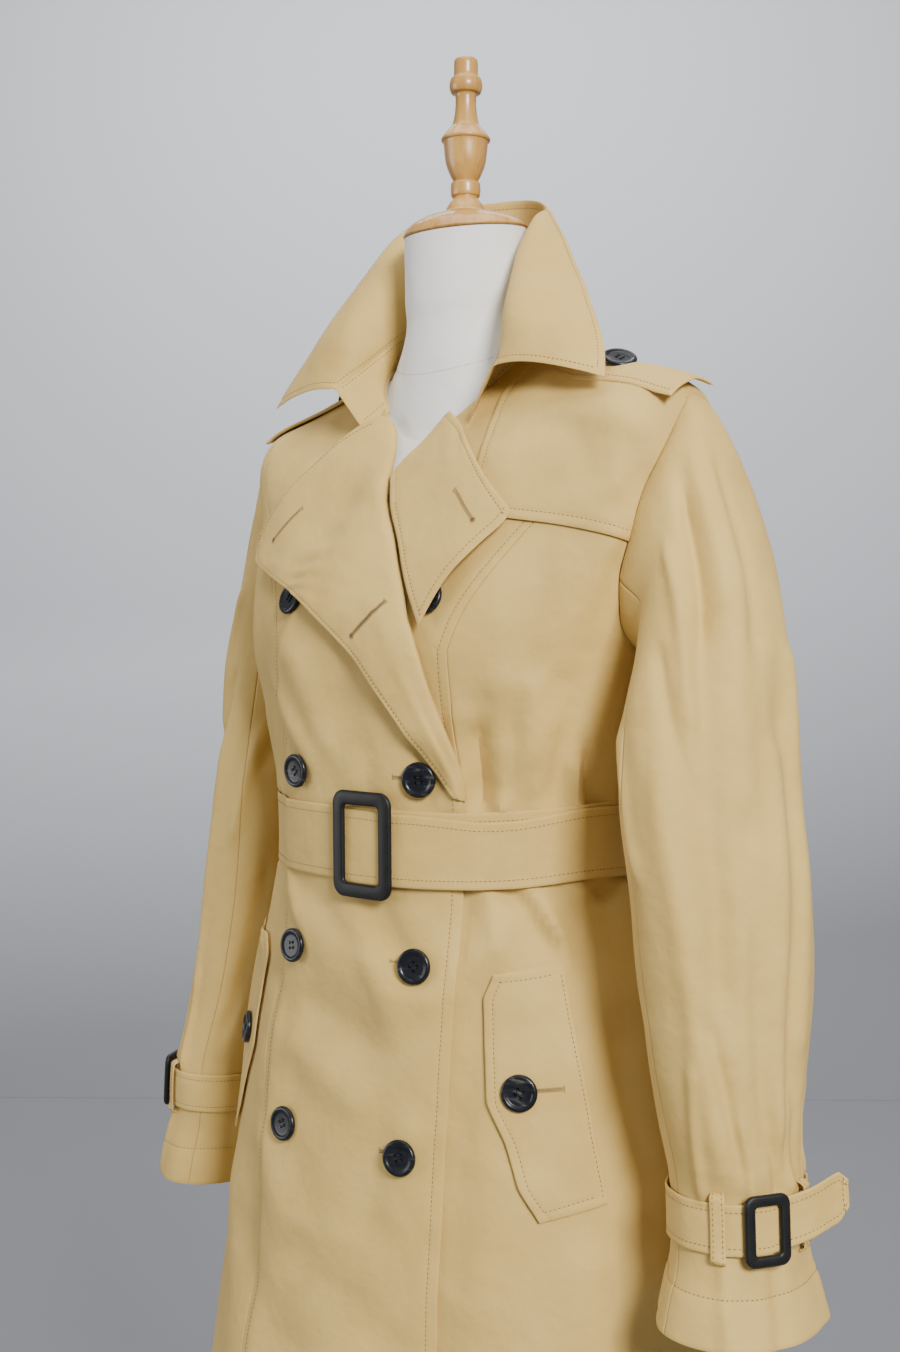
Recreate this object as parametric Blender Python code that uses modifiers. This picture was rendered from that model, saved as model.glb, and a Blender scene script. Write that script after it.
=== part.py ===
"""A belted double-breasted trench coat on a dress form with a turned finial.

Metres, +Z up. The coat's front faces -Y and its wearer's left is +X. The origin is
the middle of the underside of the stand's base, and the stand's axis is the Z axis.
"""

import math

import bmesh
import bpy
import numpy as np
from mathutils import Matrix, Vector

# Driving dimensions, in metres
WALL = 0.0016
SEAM = 0.0003
LAP = 0.0034
# Over how much of the front the overlap rises onto the underlap, and sinks above the V
LAP_START = 0.020
LAP_RUN = 0.015
LAP_TOP_RUN = 0.030
FLAP_LIFT = 0.0036
POCKET_LIFTS = {"left": 0.0032, "right": 0.0027}
COLLAR_WALL = 0.0020
SLEEVE_SEAM = 0.0009
UNDERARM_SEAM = 0.0020
BUTTON_RADIUS = 0.0122
BUTTON_HEIGHT = 0.0038
BUTTON_SEAT = 0.0005
SHANK_GAP = 0.0011
BUTTON_ROWS = (1.2235, 1.1020, 0.9755, 0.8490)
BUTTON_TOP_REACH = 0.0665
BUTTON_REACH = 0.0580
BUTTON_SHIFT = 0.0035
BELT_HEIGHT = 0.0515
BELT_MIDDLE = 1.0545
BELT_LIFT = 0.0028
BELT_LAYER = 0.0024
BELT_STEPS = 48
BELT_END_ANGLE = 104.0
BELT_END_STEPS = 14
BELT_END_DROP = 0.0012
BELT_END_START = 0.004
BELT_LEVEL = 5.5
BELT_BUCKLE_BAR = 0.0100
BELT_BUCKLE_SEAT = 0.0001
# Folds fade out toward a belt or a strap, and the belt steps down past the overlap's edge
FOLD_FADE = 0.020
BELT_STEP_START = 0.002
BELT_STEP_RUN = 0.020
BELT_BUCKLE = (0.0193, 1.0555)
BELT_BUCKLE_SIZE = (0.0515, 0.0740, 0.0048)
CUFF_BUCKLE_SIZE = (0.0310, 0.0430, 0.0042)
CUFF_BUCKLE_BAR = 0.0068
CUFF_BUCKLE_SEAT = 0.0004
STRAP_HEIGHT = 0.031
STRAP_MIDDLES = {"left": 0.841, "right": 0.822}
STRAP_BUCKLE_TURN = 58.0
STRAP_TAIL = 0.058
STRAP_TAIL_RISE = 0.014
STRAP_LIFT = 0.0027
STRAP_LAYER = 0.0023
STRAP_STEPS = 24
STRAP_START = 14.0
STRAP_LEAVE = 4.0
STRAP_RISE_START = 8.0
STRAP_RISE_RUN = 34.0
# The strap's free end: share of the tail's length, and how much of its height is left
STRAP_TIP = ((0.3, 1.0), (0.6, 1.0), (0.88, 1.0), (1.0, 0.55))
SLEEVE_RADIUS = 0.045
KEEPER_TURNS = (("front", 22.0), ("back", 104.0))
KEEPER_WIDTH = 0.0090
KEEPER_WALL = 0.0012
KEEPER_REACH = 0.0042
KEEPER_LIFT = 0.0056
KEEPER_FOOT = 0.0017
NECK_TOP = 1.4965
# The form's underside: how far down it goes, its round edge and its shares of the width
FORM_FLOOR_DROP = 0.030
FORM_EDGE_RISE = 0.008
FORM_FLOOR_SHARE = 0.80
FORM_EDGE_SHARE = 0.95
POLE_RADIUS = 0.016
BASE_RADIUS = 0.19
BASE_HEIGHT = 0.026

# Hoops of the coat's body, from hem to neck. A hoop is level at the sides (rise) and
# sinks by its drops to the front and the back. Fullness 2 is an ellipse, more is boxier.
# Columns: rise, half width, front, back, middle, front drop, back drop, fullness.
HOOPS = (
    (0.430, 0.254, 0.192, 0.186, 0.000, 0.000, 0.000, 2.00),
    (0.560, 0.234, 0.169, 0.172, 0.000, 0.000, 0.000, 2.00),
    (0.700, 0.213, 0.148, 0.157, 0.000, 0.000, 0.000, 2.05),
    (0.830, 0.198, 0.132, 0.144, 0.000, 0.000, 0.000, 2.10),
    (0.945, 0.174, 0.121, 0.125, 0.000, 0.000, 0.000, 2.15),
    (1.026, 0.149, 0.116, 0.107, 0.000, 0.000, 0.000, 2.15),
    (1.083, 0.149, 0.117, 0.106, 0.000, 0.000, 0.000, 2.15),
    (1.140, 0.160, 0.119, 0.110, 0.000, 0.000, 0.000, 2.25),
    (1.205, 0.175, 0.121, 0.112, 0.002, 0.000, 0.000, 2.45),
    (1.280, 0.188, 0.096, 0.107, 0.004, 0.006, 0.000, 2.60),
    (1.360, 0.201, 0.080, 0.085, 0.006, 0.048, 0.012, 2.30),
    (1.384, 0.136, 0.064, 0.072, 0.005, 0.054, 0.000, 2.10),
    (1.404, 0.071, 0.050, 0.058, 0.002, 0.060, -0.006, 2.00),
)
UNDERARM_LEVEL = 7.75
# The right shoulder lies lower, most at one level
RIGHT_SHOULDER_DROP = 0.008
DROP_LEVEL = 10.4
DROP_SPREAD = 0.9
TIP_LEVEL = 10.0
PRINCESS_TOP_LEVEL = 11.1
NECK_LEVEL = 12.0
PRINCESS_BEND = 1.6
LOW_LEVELS = (0.0, 0.6, 1.2, 1.8, 2.4, 3.0, 3.5, 4.0, 4.5, 5.0, 5.5, 6.0, 6.4, 6.8, 7.2, 7.75)
ARMHOLE_FRONT = 18.0
ARMHOLE_BACK = 22.0
ARMHOLE_STEPS = 8
SHOULDER_STEPS = 3

# How far each front's edge lies across the centre line, up to the neckline
# Columns: height, distance across.
UNDERLAP = (
    (0.400, 0.066), (1.170, 0.066), (1.185, 0.063), (1.208, 0.0525), (1.249, 0.030),
    (1.289, 0.004), (1.354, -0.030),
)
OVERLAP = (
    (0.400, 0.104), (0.560, 0.101), (0.727, 0.095), (0.818, 0.0915), (0.955, 0.090),
    (1.030, 0.088), (1.085, 0.089), (1.109, 0.0865), (1.146, 0.075), (1.185, 0.063),
    (1.208, 0.0525), (1.249, 0.030), (1.289, 0.004), (1.354, -0.030),
)
V_HEIGHT = 1.289

# Princess seams
# Columns: height, distance from the centre line.
PRINCESS = (
    (0.400, 0.092), (0.700, 0.086), (0.850, 0.086), (1.000, 0.085), (1.055, 0.086),
    (1.095, 0.088), (1.156, 0.085), (1.206, 0.088), (1.257, 0.109), (1.290, 0.122),
)

# Soft folds of the body: ridges are plus, troughs are minus. Degree is a degree's length.
# Columns: angle, height, end angle, end height, half width, depth.
BODY_FOLDS = (
    (45, 1.095, 48, 1.175, 0.011, -0.0040),
    (60, 1.090, 66, 1.160, 0.010, -0.0035),
    (74, 1.090, 78, 1.150, 0.009, -0.0035),
    (-60, 1.095, -50, 1.170, 0.013, 0.0040),
    (-24, 1.010, 10, 0.950, 0.016, 0.0035),
    (48, 1.010, 34, 0.975, 0.012, 0.0040),
    (70, 1.015, 76, 0.850, 0.013, -0.0060),
    (84, 1.010, 88, 0.500, 0.026, 0.0080),
    (-30, 0.900, 2, 0.780, 0.024, 0.0016),
    (-42, 0.780, -20, 0.640, 0.022, 0.0035),
    (-80, 1.010, -84, 0.500, 0.026, 0.0050),
    (118, 1.015, 122, 0.500, 0.026, -0.0070),
    (-118, 1.015, -124, 0.500, 0.026, -0.0070),
    (146, 1.015, 150, 0.500, 0.024, 0.0070),
    (-146, 1.015, -150, 0.500, 0.024, 0.0070),
    (150, 1.100, 140, 1.200, 0.014, -0.0040),
    (-150, 1.100, -138, 1.190, 0.014, -0.0040),
    (128, 1.095, 120, 1.180, 0.012, 0.0035),
    (-128, 1.095, -120, 1.180, 0.012, 0.0035),
)
BODY_DEGREE = 0.0026
NORMAL_ANGLE_STEP = 1.5
NORMAL_LEVEL_STEP = 0.02
FOLD_TAPER = 0.030

# Rings of the sleeves, down from the armhole. The turn round a ring is 0 at the front,
# 90 at the outside, 180 at the back and 270 at the body. Lean tips the ring.
# Columns: height, out, fore, half out, half fore, lean.
SLEEVES = {
    "left": (
        (1.238, 0.2085, 0.001, 0.0660, 0.0550, 64.0),
        (1.200, 0.2190, -0.003, 0.0560, 0.0640, 45.0),
        (1.150, 0.2265, -0.011, 0.0510, 0.0730, 26.0),
        (1.095, 0.2350, -0.019, 0.0500, 0.0750, 12.0),
        (1.035, 0.2460, -0.026, 0.0490, 0.0720, 3.0),
        (0.970, 0.2530, -0.031, 0.0465, 0.0650, 0.0),
        (0.905, 0.2580, -0.033, 0.0420, 0.0550, 0.0),
        (0.862, 0.2620, -0.033, 0.0385, 0.0470, 0.0),
        (0.815, 0.2650, -0.035, 0.0385, 0.0470, 0.0),
        (0.793, 0.2665, -0.036, 0.0440, 0.0535, 0.0),
        (0.772, 0.2680, -0.037, 0.0495, 0.0590, 0.0),
    ),
    "right": (
        (1.238, 0.1995, 0.016, 0.0630, 0.0510, 64.0),
        (1.200, 0.2060, 0.018, 0.0500, 0.0560, 45.0),
        (1.150, 0.2110, 0.021, 0.0450, 0.0640, 22.0),
        (1.095, 0.2140, 0.015, 0.0450, 0.0640, 10.0),
        (1.035, 0.2200, 0.010, 0.0450, 0.0610, 3.0),
        (0.970, 0.2275, 0.004, 0.0430, 0.0550, 0.0),
        (0.905, 0.2375, -0.005, 0.0405, 0.0490, 0.0),
        (0.845, 0.2490, -0.017, 0.0385, 0.0460, 0.0),
        (0.798, 0.2530, -0.017, 0.0385, 0.0460, 0.0),
        (0.770, 0.2580, -0.013, 0.0400, 0.0540, 0.0),
        (0.745, 0.2620, -0.008, 0.0430, 0.0620, 0.0),
    ),
}
SLEEVE_ROWS = (
    -1.0, -0.8, -0.55, -0.3, 0.0, 0.5, 1.0, 1.5, 2.0, 2.5, 3.0, 3.5, 4.0, 4.5, 5.0, 5.5, 6.0,
    6.5, 7.0, 7.5, 8.0, 9.0, 10.0,
)
SLEEVE_FRONT_SEAM = -22.5
SLEEVE_BACK_SEAM = 202.5
SLEEVE_STEP = 22.5
RING_STEP = 0.01
# How strongly the sleeve head leaves the armhole, as a share of its own run
SLEEVE_HEAD = 0.90
# The way the sleeve head leaves the armhole: out, forward at the front, up
HEAD_WAY = (0.60, -0.40, -0.72)
SLEEVE_FOLDS = (
    (44, 1.310, 40, 0.990, 0.010, -0.0050),
    (66, 1.300, 60, 1.020, 0.010, 0.0035),
    (96, 1.140, 92, 0.890, 0.010, -0.0050),
    (12, 1.090, 26, 0.900, 0.009, 0.0040),
    (132, 1.200, 140, 0.900, 0.012, -0.0050),
    (168, 1.120, 160, 0.930, 0.012, 0.0040),
)
SLEEVE_DEGREE = 0.0010

# Ribs of the left half of the collar, from its front end to the centre back. Angle is the
# rib's foot on the neckline, or at first where the neckline ends and the foot runs out to
# the gorge's corner. The seam joins stand and leaf, and the leaf rolls over to its edge.
# Columns: angle, then x, y and z of the seam, of the roll and of the edge.
COLLAR = (
    (42, 0.079, -0.058, 1.384, 0.112, -0.062, 1.389, 0.162, -0.042, 1.369),
    (42, 0.070, -0.036, 1.402, 0.072, -0.060, 1.448, 0.145, -0.022, 1.398),
    (90, 0.060, 0.000, 1.430, 0.048, -0.030, 1.500, 0.107, 0.004, 1.450),
    (118, 0.052, 0.030, 1.436, 0.043, 0.000, 1.528, 0.070, 0.024, 1.496),
    (148, 0.036, 0.055, 1.438, 0.034, 0.045, 1.510, 0.042, 0.040, 1.520),
    (180, 0.000, 0.064, 1.438, 0.000, 0.067, 1.490, 0.000, 0.057, 1.533),
)
GORGE_CORNER = (0.0550, -0.0545, 1.3540)
COLLAR_COLUMN_COUNT = 24
STAND_ROWS = 3
LEAF_ROWS = 7
LEAF_START = 0.0011
STAND_START = 0.0026
# The right half of the leaf's edge opens wider than the left one, most at its middle
RIGHT_OPENING = (-0.012, -0.010, 0.016)
RIGHT_TIP_RISE = 0.009

# Rows of the lapels, from the bottom up. Roll is the height on the roll line, then come
# the middle and the outer edge, as distances to the lapel's own side and heights.
# Columns: roll, middle out, middle height, edge out, edge height.
RIGHT_LAPEL = (
    (1.0890, -0.0860, 1.0905, -0.0830, 1.0925),
    (1.1460, -0.0580, 1.1490, -0.0420, 1.1540),
    (1.1850, -0.0360, 1.1860, -0.0100, 1.1870),
    (1.2250, 0.0000, 1.2230, 0.0450, 1.2200),
    (1.2750, 0.0530, 1.2590, 0.1140, 1.2470),
    (1.3200, 0.0580, 1.3120, 0.1270, 1.2590),
    (1.3535, 0.0500, 1.3710, 0.1310, 1.2700),
)
LEFT_LAPEL = (
    (1.3090, 0.0330, 1.2590, 0.0605, 1.2135),
    (1.3150, 0.0470, 1.2710, 0.0800, 1.2375),
    (1.3240, 0.0560, 1.2910, 0.0990, 1.2560),
    (1.3370, 0.0550, 1.3180, 0.1130, 1.2690),
    (1.3535, 0.0440, 1.3530, 0.1180, 1.2780),
)
# The turn of the cloth round the roll line. Columns: across, lift.
CURL = ((-0.0018, 0.0000), (-0.0037, 0.0020), (-0.0030, 0.0056), (0.0040, 0.0084))
LAPEL_SHARES = (0.22, 0.42, 0.62, 0.82, 1.0)
# The curl is this low, and no wider than its share of a short row, by the right roll line
CURL_LOW = 0.45
CURL_REACH = 0.030
CLEAR_START = 0.010
CLEAR_RUN = 0.025
LAPEL_CROWN = 0.0102
LAPEL_EDGE = 0.0098

# Storm flap: its lower edge and its front edge, as distances out and heights
FLAP_FRONT = ((0.078, 1.279), (0.077, 1.300), (0.075, 1.330), (0.069, 1.362))
FLAP_TOP_LEVELS = (11.80, 11.85)
FLAP_ROWS = 5
FLAP_START_TURN = -6.0
FLAP_SHORT_TURN = 1.6

# Pocket welt rows, from the bottom up
# Columns: left, left height, right, right height.
POCKET = (
    (0.1500, 0.8175, 0.1800, 0.8290),
    (0.1377, 0.8380, 0.1765, 0.8460),
    (0.1270, 0.8670, 0.1715, 0.8680),
    (0.1140, 0.8910, 0.1668, 0.8900),
    (0.1098, 0.9250, 0.1595, 0.9200),
    (0.1062, 0.9580, 0.1515, 0.9520),
    (0.1110, 0.9735, 0.1430, 0.9815),
)
POCKET_BUTTON = (0.1325, 0.8986)

# Epaulette rows, from the sleeve inward: distance out and half width
# Columns: out, half width, lift.
EPAULETTE = (
    (0.1995, 0.0235, 0.0085),
    (0.1800, 0.0230, 0.0088),
    (0.1550, 0.0222, 0.0086),
    (0.1300, 0.0215, 0.0082),
    (0.1080, 0.0205, 0.0078),
    (0.0960, 0.0100, 0.0076),
)
EPAULETTE_WALL = 0.0024
EPAULETTE_SHARES = (-1.0, -0.5, 0.0, 0.5, 1.0)
EPAULETTE_MIDDLES = {"left": -0.005, "right": 0.002}
# The right one has no storm flap under it
EPAULETTE_DROPS = {"left": 0.0, "right": 0.0038}
EPAULETTE_BUTTONS = {"left": 0.146, "right": 0.120}
# An epaulette's button leans outward and forward on its shank
BUTTON_LEAN = (0.32, -0.20, 0.0)
BUTTON_SHANK = 0.0044
LEANING_SHANK = 0.0034

# The dress form's distance inside the coat, by level
# Columns: level, inset.
FORM = (
    (3.1, 0.044), (4.0, 0.038), (5.0, 0.033), (6.0, 0.031), (7.0, 0.026), (8.0, 0.017),
    (9.0, 0.0120), (10.0, 0.0075), (11.0, 0.0070), (12.0, 0.0054),
)
FORM_LEVELS = (
    3.1, 3.6, 4.2, 4.8, 5.5, 6.2, 7.0, 7.7, 8.4, 9.0, 9.5, 10.0, 10.5, 11.0, 11.5, 12.0,
)
FORM_STEPS = 28
# Rings of the neck, which leans forward. Tilt is how far a ring's front sinks, in degrees.
# Columns: height, radius, middle, tilt.
NECK = (
    (1.4340, 0.0498, 0.0060, 20.0), (1.4540, 0.0480, 0.0040, 13.0),
    (1.4750, 0.0467, 0.0020, 9.0), (1.4965, 0.0458, 0.0000, 7.0),
)
# Rings of the wooden cap on the neck, level at its top
CAP = (
    (1.4972, 0.0450, 0.0000, 7.0), (1.4978, 0.0462, 0.0000, 7.0), (1.4992, 0.0462, 0.0000, 6.6),
    (1.5040, 0.0415, 0.0000, 4.5), (1.5088, 0.0300, 0.0000, 2.0), (1.5115, 0.0150, 0.0000, 0.0),
)
# Turned profile of the finial: radius and height above the neck's top
FINIAL = (
    (0.0000, 0.1302), (0.0065, 0.1300), (0.0088, 0.1275), (0.0091, 0.1170), (0.0112, 0.1150),
    (0.0123, 0.1097), (0.0110, 0.1048), (0.0080, 0.1030), (0.0080, 0.0920), (0.0100, 0.0815),
    (0.0130, 0.0775), (0.0180, 0.0712), (0.0178, 0.0690), (0.0166, 0.0676), (0.0149, 0.0533),
    (0.0115, 0.0440), (0.0085, 0.0385), (0.0108, 0.0378), (0.0108, 0.0292), (0.0092, 0.0272),
    (0.0129, 0.0218), (0.0148, 0.0176), (0.0148, 0.0153), (0.0000, 0.0153),
)
BUTTON_PROFILE = ((0.00, 0.72), (0.70, 0.72), (0.82, 1.00), (1.00, 0.84), (1.00, 0.16))
BUTTON_SHANK_RADIUS = 0.13
BUTTON_SPOTS = 12
# A buckle frame's section: share across the bar and share of its depth
BUCKLE_SECTION = (
    (0.0, 0.30), (0.0, 0.70), (0.22, 1.0), (0.78, 1.0), (1.0, 0.70), (1.0, 0.30), (0.78, 0.0),
    (0.22, 0.0),
)
BUCKLE_CORNER = 0.9
BUCKLE_INNER_CORNER = 0.7
BUCKLE_LEAST_CORNER = 0.0015
BASE_PROFILE = ((0.0, 1.0), (0.16, 1.0), (0.80, 0.62), (1.0, 0.30), (1.0, 0.0), (0.0, 0.0))

# Materials: name, colour and roughness
COTTON = ("cotton_gabardine", (0.56, 0.42, 0.24), 0.75)
HORN = ("dark_horn", (0.012, 0.014, 0.022), 0.25)
LEATHER = ("black_leather", (0.015, 0.015, 0.017), 0.45)
JERSEY = ("white_jersey", (0.72, 0.71, 0.68), 0.9)
WOOD = ("varnished_wood", (0.60, 0.36, 0.13), 0.35)
ENAMEL = ("grey_enamel", (0.45, 0.45, 0.44), 0.5)


# Reading the tables

def smooth_row(table, place):
    """The columns of a table at a place between its rows, on a smooth curve."""
    rows = np.asarray(table, float)
    last = len(rows) - 1
    place = min(max(place, 0.0), float(last))
    low = min(int(place), last - 1)
    part = place - low
    before = rows[max(low - 1, 0)]
    first = rows[low]
    second = rows[low + 1]
    after = rows[min(low + 2, last)]
    slope = (second - before) / 2 if low else second - first
    next_slope = (after - first) / 2 if low + 1 < last else second - first
    square = part * part
    cube = square * part
    return (
        first * (2 * cube - 3 * square + 1)
        + slope * (cube - 2 * square + part)
        + second * (3 * square - 2 * cube)
        + next_slope * (cube - square)
    )


def keyed_row(table, key):
    """The columns of a table read at a value of its first column."""
    keys = [row[0] for row in table]
    if key <= keys[0]:
        return np.asarray(table[0], float)
    if key >= keys[-1]:
        return np.asarray(table[-1], float)
    low = max(index for index, value in enumerate(keys) if value <= key)
    low = min(low, len(keys) - 2)
    part = (key - keys[low]) / (keys[low + 1] - keys[low])
    return smooth_row(table, low + part)


def keyed_value(table, key):
    return float(keyed_row(table, key)[1])


def ease(value):
    """0 to 1 with soft ends."""
    value = min(max(value, 0.0), 1.0)
    return value * value * (3 - 2 * value)


def find_place(low, high, is_below):
    """The place between two ends where a test turns false."""
    for _ in range(34):
        middle = (low + high) / 2
        if is_below(middle):
            low = middle
        else:
            high = middle
    return low


# The body's surface

def hoop_point(angle, level):
    """A point of the body's middle surface with no folds: angle 0 is the front."""
    rise, half_width, front, back, middle, front_drop, back_drop, fullness = smooth_row(HOOPS, level)
    sine = math.sin(math.radians(angle))
    cosine = math.cos(math.radians(angle))
    power = 2 / fullness
    depth = front if cosine > 0 else back
    drop = front_drop if cosine > 0 else back_drop
    spread = math.exp(-(((level - DROP_LEVEL) / DROP_SPREAD) ** 2))
    right_drop = RIGHT_SHOULDER_DROP * max(-sine, 0.0) * spread
    return np.array((
        math.copysign(half_width * abs(sine) ** power, sine),
        middle - math.copysign(depth * abs(cosine) ** power, cosine),
        rise - drop * cosine * cosine - right_drop,
    ))


def hoop_normal(angle, level):
    """The outward direction of the body's middle surface."""
    upper = min(level + NORMAL_LEVEL_STEP, NECK_LEVEL)
    lower = max(level - NORMAL_LEVEL_STEP, 0.0)
    along = (hoop_point(angle + NORMAL_ANGLE_STEP, level)
             - hoop_point(angle - NORMAL_ANGLE_STEP, level))
    upward = hoop_point(angle, upper) - hoop_point(angle, lower)
    normal = np.cross(along, upward)
    return normal / np.linalg.norm(normal)


def fold_lift(folds, angle, height, degree):
    """How far the folds lift the cloth at a place. Degree is the length of one degree."""
    lift = 0.0
    for first_angle, first, last_angle, last, half_width, depth in folds:
        turn = (angle - first_angle + 180) % 360 - 180
        run_x = (last_angle - first_angle) * degree
        run_z = last - first
        length = math.hypot(run_x, run_z)
        along = (turn * degree * run_x + (height - first) * run_z) / length
        across = (turn * degree * run_z - (height - first) * run_x) / length
        outside = max(-along, along - length, 0.0)
        fade = math.exp(-((outside / FOLD_TAPER) ** 2))
        lift += depth * fade * math.exp(-((across / half_width) ** 2))
    return lift


def body_point(angle, level, out=0.0):
    """A point moved out from the folded cloth of the body."""
    base = hoop_point(angle, level)
    clear = ease((abs(base[2] - BELT_MIDDLE) - BELT_HEIGHT / 2) / FOLD_FADE)
    lift = fold_lift(BODY_FOLDS, angle, base[2], BODY_DEGREE) * clear
    return base + hoop_normal(angle, level) * (out + lift)


def angle_at(distance, level):
    """The angle of the front's point at a distance from the centre line."""
    _, half_width, _, _, _, _, _, fullness = smooth_row(HOOPS, level)
    share = min(abs(distance) / half_width, 1.0)
    return math.copysign(math.degrees(math.asin(share ** (fullness / 2))), distance)


def level_at(height):
    """The level whose sides lie at a height."""
    return find_place(0.0, NECK_LEVEL, lambda level: smooth_row(HOOPS, level)[0] < height)


def front_place(distance, height):
    """Angle and level of the front's point at a distance from the centre and a height."""
    level = find_place(
        0.0, NECK_LEVEL, lambda trial: hoop_point(angle_at(distance, trial), trial)[2] < height)
    return angle_at(distance, level), level


def shoulder_angle(fore, level):
    """The angle of the shoulder's point at a depth, where plus is to the back."""
    _, _, front, back, middle, _, _, fullness = smooth_row(HOOPS, level)
    depth = front if fore < middle else back
    share = min(abs(fore - middle) / depth, 1.0)
    turn = math.degrees(math.asin(share ** (fullness / 2)))
    return 90 - math.copysign(turn, middle - fore)


def shoulder_place(distance, fore):
    """Angle and level of the left shoulder's point at a distance out and a depth."""
    level = find_place(
        TIP_LEVEL, NECK_LEVEL,
        lambda trial: hoop_point(shoulder_angle(fore, trial), trial)[0] > distance)
    return shoulder_angle(fore, level), level


# Meshes and materials

def new_material(name, colour, roughness):
    material = bpy.data.materials.new(name)
    material.use_nodes = True
    shader = material.node_tree.nodes["Principled BSDF"]
    shader.inputs["Base Color"].default_value = (*colour, 1.0)
    shader.inputs["Roughness"].default_value = roughness
    return material


def add_object(name, mesh, material, sharp=50.0):
    mesh.materials.append(material)
    mesh.shade_smooth()
    mesh.set_sharp_from_angle(angle=math.radians(sharp))
    made = bpy.data.objects.new(name, mesh)
    bpy.data.collections["trench_coat"].objects.link(made)
    return made


def finish_grid(name, grid, material, sharp=50.0):
    bmesh.ops.recalc_face_normals(grid, faces=grid.faces)
    mesh = bpy.data.meshes.new(name)
    grid.to_mesh(mesh)
    grid.free()
    return add_object(name, mesh, material, sharp)


def grid_normals(points):
    """Directions across a grid of points (rows, columns)."""
    along = np.gradient(points, axis=1)
    upward = np.gradient(points, axis=0)
    normals = np.cross(along, upward)
    return normals / np.linalg.norm(normals, axis=2, keepdims=True)


def wall_from(name, outer, inner, material, closed=False):
    """A closed cloth wall between an outer and an inner grid of points."""
    rows, columns, _ = outer.shape
    grid = bmesh.new()
    outside = [[grid.verts.new(point) for point in row] for row in outer]
    inside = [[grid.verts.new(point) for point in row] for row in inner]
    spans = columns if closed else columns - 1
    for row in range(rows - 1):
        for column in range(spans):
            after = (column + 1) % columns
            for face in (outside, inside):
                grid.faces.new((face[row][column], face[row][after],
                                face[row + 1][after], face[row + 1][column]))
    for row in (0, rows - 1):
        for column in range(spans):
            after = (column + 1) % columns
            grid.faces.new((outside[row][column], inside[row][column],
                            inside[row][after], outside[row][after]))
    if not closed:
        for column in (0, columns - 1):
            for row in range(rows - 1):
                grid.faces.new((outside[row][column], outside[row + 1][column],
                                inside[row + 1][column], inside[row][column]))
    return finish_grid(name, grid, material)


def wall(name, middle, material, thickness=WALL):
    """A cloth wall round a grid of middle points."""
    half = grid_normals(middle) * thickness / 2
    return wall_from(name, middle + half, middle - half, material)


def loft(name, rings, material, sharp=50.0):
    """A closed solid through rings of points, with flat ends."""
    grid = bmesh.new()
    made = [[grid.verts.new(point) for point in ring] for ring in rings]
    count = len(made[0])
    for low, high in zip(made, made[1:]):
        for index in range(count):
            after = (index + 1) % count
            grid.faces.new((low[index], low[after], high[after], high[index]))
    grid.faces.new(made[0])
    grid.faces.new(made[-1])
    return finish_grid(name, grid, material, sharp)


def turned(name, profile, material, steps):
    """A turned solid from a profile of (radius, height), top to bottom."""
    mesh = bpy.data.meshes.new(name)
    lathe = bmesh.new()
    points = [lathe.verts.new((radius, 0, height)) for radius, height in profile]
    for first, second in zip(points, points[1:]):
        lathe.edges.new((first, second))
    lathe.to_mesh(mesh)
    lathe.free()
    made = add_object(name, mesh, material)
    screw = made.modifiers.new("Turn", "SCREW")
    screw.steps = steps
    screw.render_steps = steps
    screw.use_merge_vertices = True
    screw.merge_threshold = 0.00001
    screw.use_smooth_shade = True
    return made


def stand_on(made, point, normal):
    """Stand an object's Z axis along a normal at a point, with its Y axis upward."""
    out = Vector(normal).normalized()
    side = Vector((0, 0, 1)).cross(out)
    side = side.normalized() if side.length > 0.2 else Vector((0, 1, 0)).cross(out).normalized()
    up = out.cross(side)
    turn = Matrix((side, up, out)).transposed().to_4x4()
    made.matrix_world = Matrix.Translation(Vector(point)) @ turn
    return made


def rounded_outline(half_width, half_height, radius, corner_steps=3):
    """Points of a rectangle with round corners."""
    points = []
    for corner, (x_sign, y_sign) in enumerate(((1, 1), (-1, 1), (-1, -1), (1, -1))):
        for step in range(corner_steps + 1):
            turn = math.radians(90 * corner + 90 * step / corner_steps)
            points.append((x_sign * (half_width - radius) + radius * math.cos(turn),
                           y_sign * (half_height - radius) + radius * math.sin(turn)))
    return points


def frame(name, size, bar, material):
    """A flat buckle frame with rounded bars, in its own XY plane."""
    width, height, depth = size
    grid = bmesh.new()
    rings = []
    for inset, rise in BUCKLE_SECTION:
        corner = bar * (BUCKLE_CORNER - BUCKLE_INNER_CORNER * inset)
        outline = rounded_outline(width / 2 - bar * inset, height / 2 - bar * inset,
                                  max(corner, BUCKLE_LEAST_CORNER))
        rings.append([grid.verts.new((x, y, depth * (rise - 0.5))) for x, y in outline])
    for ring, after_ring in zip(rings, rings[1:] + rings[:1]):
        for index in range(len(ring)):
            after = (index + 1) % len(ring)
            grid.faces.new((ring[index], ring[after], after_ring[after], after_ring[index]))
    return finish_grid(name, grid, material)


# The coat's body

def panel(name, left_edge, right_edge, columns, material, out):
    """A panel of the body between two edges, each a list of (angle, level) places."""
    outer = []
    inner = []
    for (left_angle, left_level), (right_angle, right_level) in zip(left_edge, right_edge):
        width = np.linalg.norm(
            hoop_point(right_angle, right_level) - hoop_point(left_angle, left_level))
        inset = SEAM / 2 / float(width)
        shares = [inset + (1 - 2 * inset) * column / columns for column in range(columns + 1)]
        places = [(left_angle + (right_angle - left_angle) * share,
                   left_level + (right_level - left_level) * share) for share in shares]
        outer.append([body_point(*place, out(*place) + WALL / 2) for place in places])
        inner.append([body_point(*place, out(*place) - WALL / 2) for place in places])
    return wall_from(name, np.array(outer), np.array(inner), material)


def mirrored(places):
    return [(-angle, level) for angle, level in places]


def own_side(places, side):
    return places if side == "left" else mirrored(places)


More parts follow.
